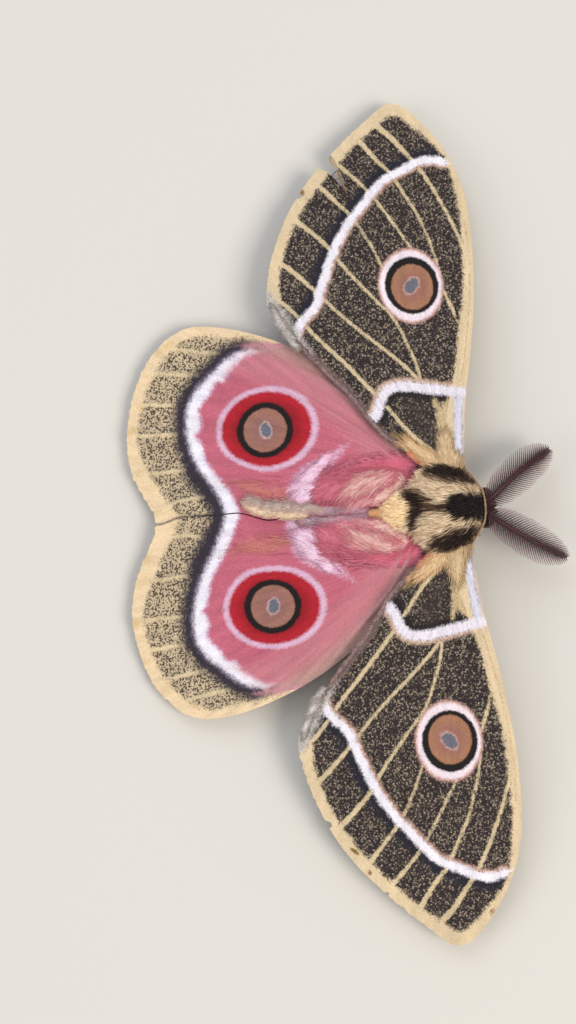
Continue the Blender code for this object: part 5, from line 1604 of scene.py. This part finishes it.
# Antennae: a fine shaft with a comb of curved branches on each side, which carry fine setae
antennaPlan = {
    "root": (0.95, -5.3, 7.9),
    "shift": -0.3,  # both stand a little to the moth's right, as the photograph shows
    "tipHeight": 4.6,
    "length": {"left": 14.6, "right": 15.3},
    "splay": {"left": 36.5, "right": 30.5},  # degrees out from straight ahead
    "shaftRadii": [0.26, 0.25, 0.21, 0.16, 0.1, 0.04],
    "branches": 34,  # on each side
    "branchLength": 3.7,
    "branchMarks": ([0.0, 0.12, 0.35, 0.6, 0.8, 0.92, 1.0], [0.62, 0.85, 1.0, 0.94, 0.64, 0.34, 0.1]),
    "branchAngle": 66,
    "branchWidth": 0.2,
    "branchProfile": [1.25, 1.15, 1, 0.9, 0.8, 0.7, 0.5],
    "setae": 24,  # on each side of a branch
    "setaLength": (0.36, 0.52),
    "setaWidth": 0.075,
    "colours": ("400A15", "96696D"),  # by the shaft, and at the branches' tips
}


def antennaShades(name, plan):
    # horny and a little glossy, maroon at the shaft and pale at the branches' ends
    made, tree, shader = newMaterial(name, Roughness=0.5, Sheen_Weight=0.1, Sheen_Roughness=0.5)
    tip = addNode(tree, "Attribute", attribute_name="tip").outputs["Fac"]
    pale = addNode(tree, "MapRange", {"Value": tip, "From Min": 0.35, "From Max": 0.85}).outputs[0]
    base, end = (hexColour(text) for text in plan["colours"])
    colour = addNode(tree, "Mix", {0: pale, 6: base, 7: end}, data_type="RGBA").outputs[2]
    tree.links.new(colour, shader.inputs["Base Color"])
    return made


def makeAntenna(word, side, plan, material):
    draw = np.random.default_rng(15 + side)
    splay = math.radians(plan["splay"][word])
    root = np.array(plan["root"]) * (side, 1, 1) + (plan["shift"], 0, 0)
    forward = np.array((side * math.sin(splay), -math.cos(splay), 0.0))
    across = np.array((-forward[1], forward[0], 0.0))
    share = np.linspace(0, 1, 9)
    drop = (plan["tipHeight"] - root[2]) * (0.4 * share + 0.6 * share**2)
    shaft = root + forward * plan["length"][word] * share[:, None]
    shaft += np.column_stack([side * 0.5 * np.sin(math.pi * share), 0 * share, drop])
    stalk = shapedBall(10, 60, drawnOut(shaft, plan["shaftRadii"]))
    storeFields(stalk.data, {"tip": np.zeros(len(stalk.data.vertices))})
    run = smoothLine(shaft)
    at = np.repeat(0.98 * (np.arange(plan["branches"]) + 0.5) / plan["branches"], 2)
    hand = np.tile((-1.0, 1.0), plan["branches"])
    length = plan["branchLength"] * np.interp(at, *plan["branchMarks"]) * draw.uniform(0.97, 1.03, len(at))
    steps = np.linspace(0, 1, 8)
    lean = np.radians(plan["branchAngle"] - 26 * at**2)[:, None]
    out = across * hand[:, None] * np.sin(lean) + forward * np.cos(lean)
    lines = pointsAlong(run, at)[:, None] + out[:, None] * (length[:, None] * steps)[..., None]
    lines += forward * (0.22 * length[:, None] * steps**2)[..., None]
    lines[..., 2] += 0.35 * steps - 0.75 * steps**2
    count = len(at)
    patches = np.column_stack([at, hand * 0.2 + 0.5])
    branches = makeBlades("branches", lines, upward, plan["branchWidth"], {}, patches, material,
                          profile=plan["branchProfile"], thick=0.9)
    # setae along both sides of each branch, raked towards its tip
    alongShare = np.tile(np.repeat(np.linspace(0.03, 0.92, plan["setae"]) ** 1.5, 2), count)
    which = np.repeat(np.arange(count), 2 * plan["setae"])
    sideOf = np.tile((-1.0, 1.0), count * plan["setae"])
    place = alongShare * (len(steps) - 1)
    low = np.floor(place).astype(int)
    step = lines[which, low + 1] - lines[which, low]
    start = lines[which, low] + step * (place - low)[:, None]
    ahead = unitLength(step)
    lateral = np.cross(ahead, upward) * sideOf[:, None]
    shorter = (1 - 0.8 * alongShare) * np.interp(at[which], [0.8, 1.0], [1.0, 0.4])
    reach = draw.uniform(*plan["setaLength"], len(which)) * shorter
    raked = lateral * 0.8 + ahead * 0.6 + (0, 0, -0.25)
    hairs = np.stack([start + raked * (reach * t)[:, None] for t in (0.0, 0.5, 1.0)], axis=1)
    setae = makeBlades("setae", hairs, upward, plan["setaWidth"], {}, patches[which], material,
                       profile=[1, 0.8], thick=0.6, tipScale=0.25)
    deselectAll()
    for piece in (stalk, branches, setae):
        piece.select_set(True)
    bpy.context.view_layer.objects.active = stalk
    bpy.ops.object.join()
    stalk.data.shade_smooth()
    finishPiece(stalk, "antenna_" + word + "_comb", material, ["antenna_" + word])


antennaCuticle = antennaShades("antenna_cuticle", antennaPlan)
for side, word in ((1, "left"), (-1, "right")):
    makeAntenna(word, side, antennaPlan, antennaCuticle)
print("antennae are made")
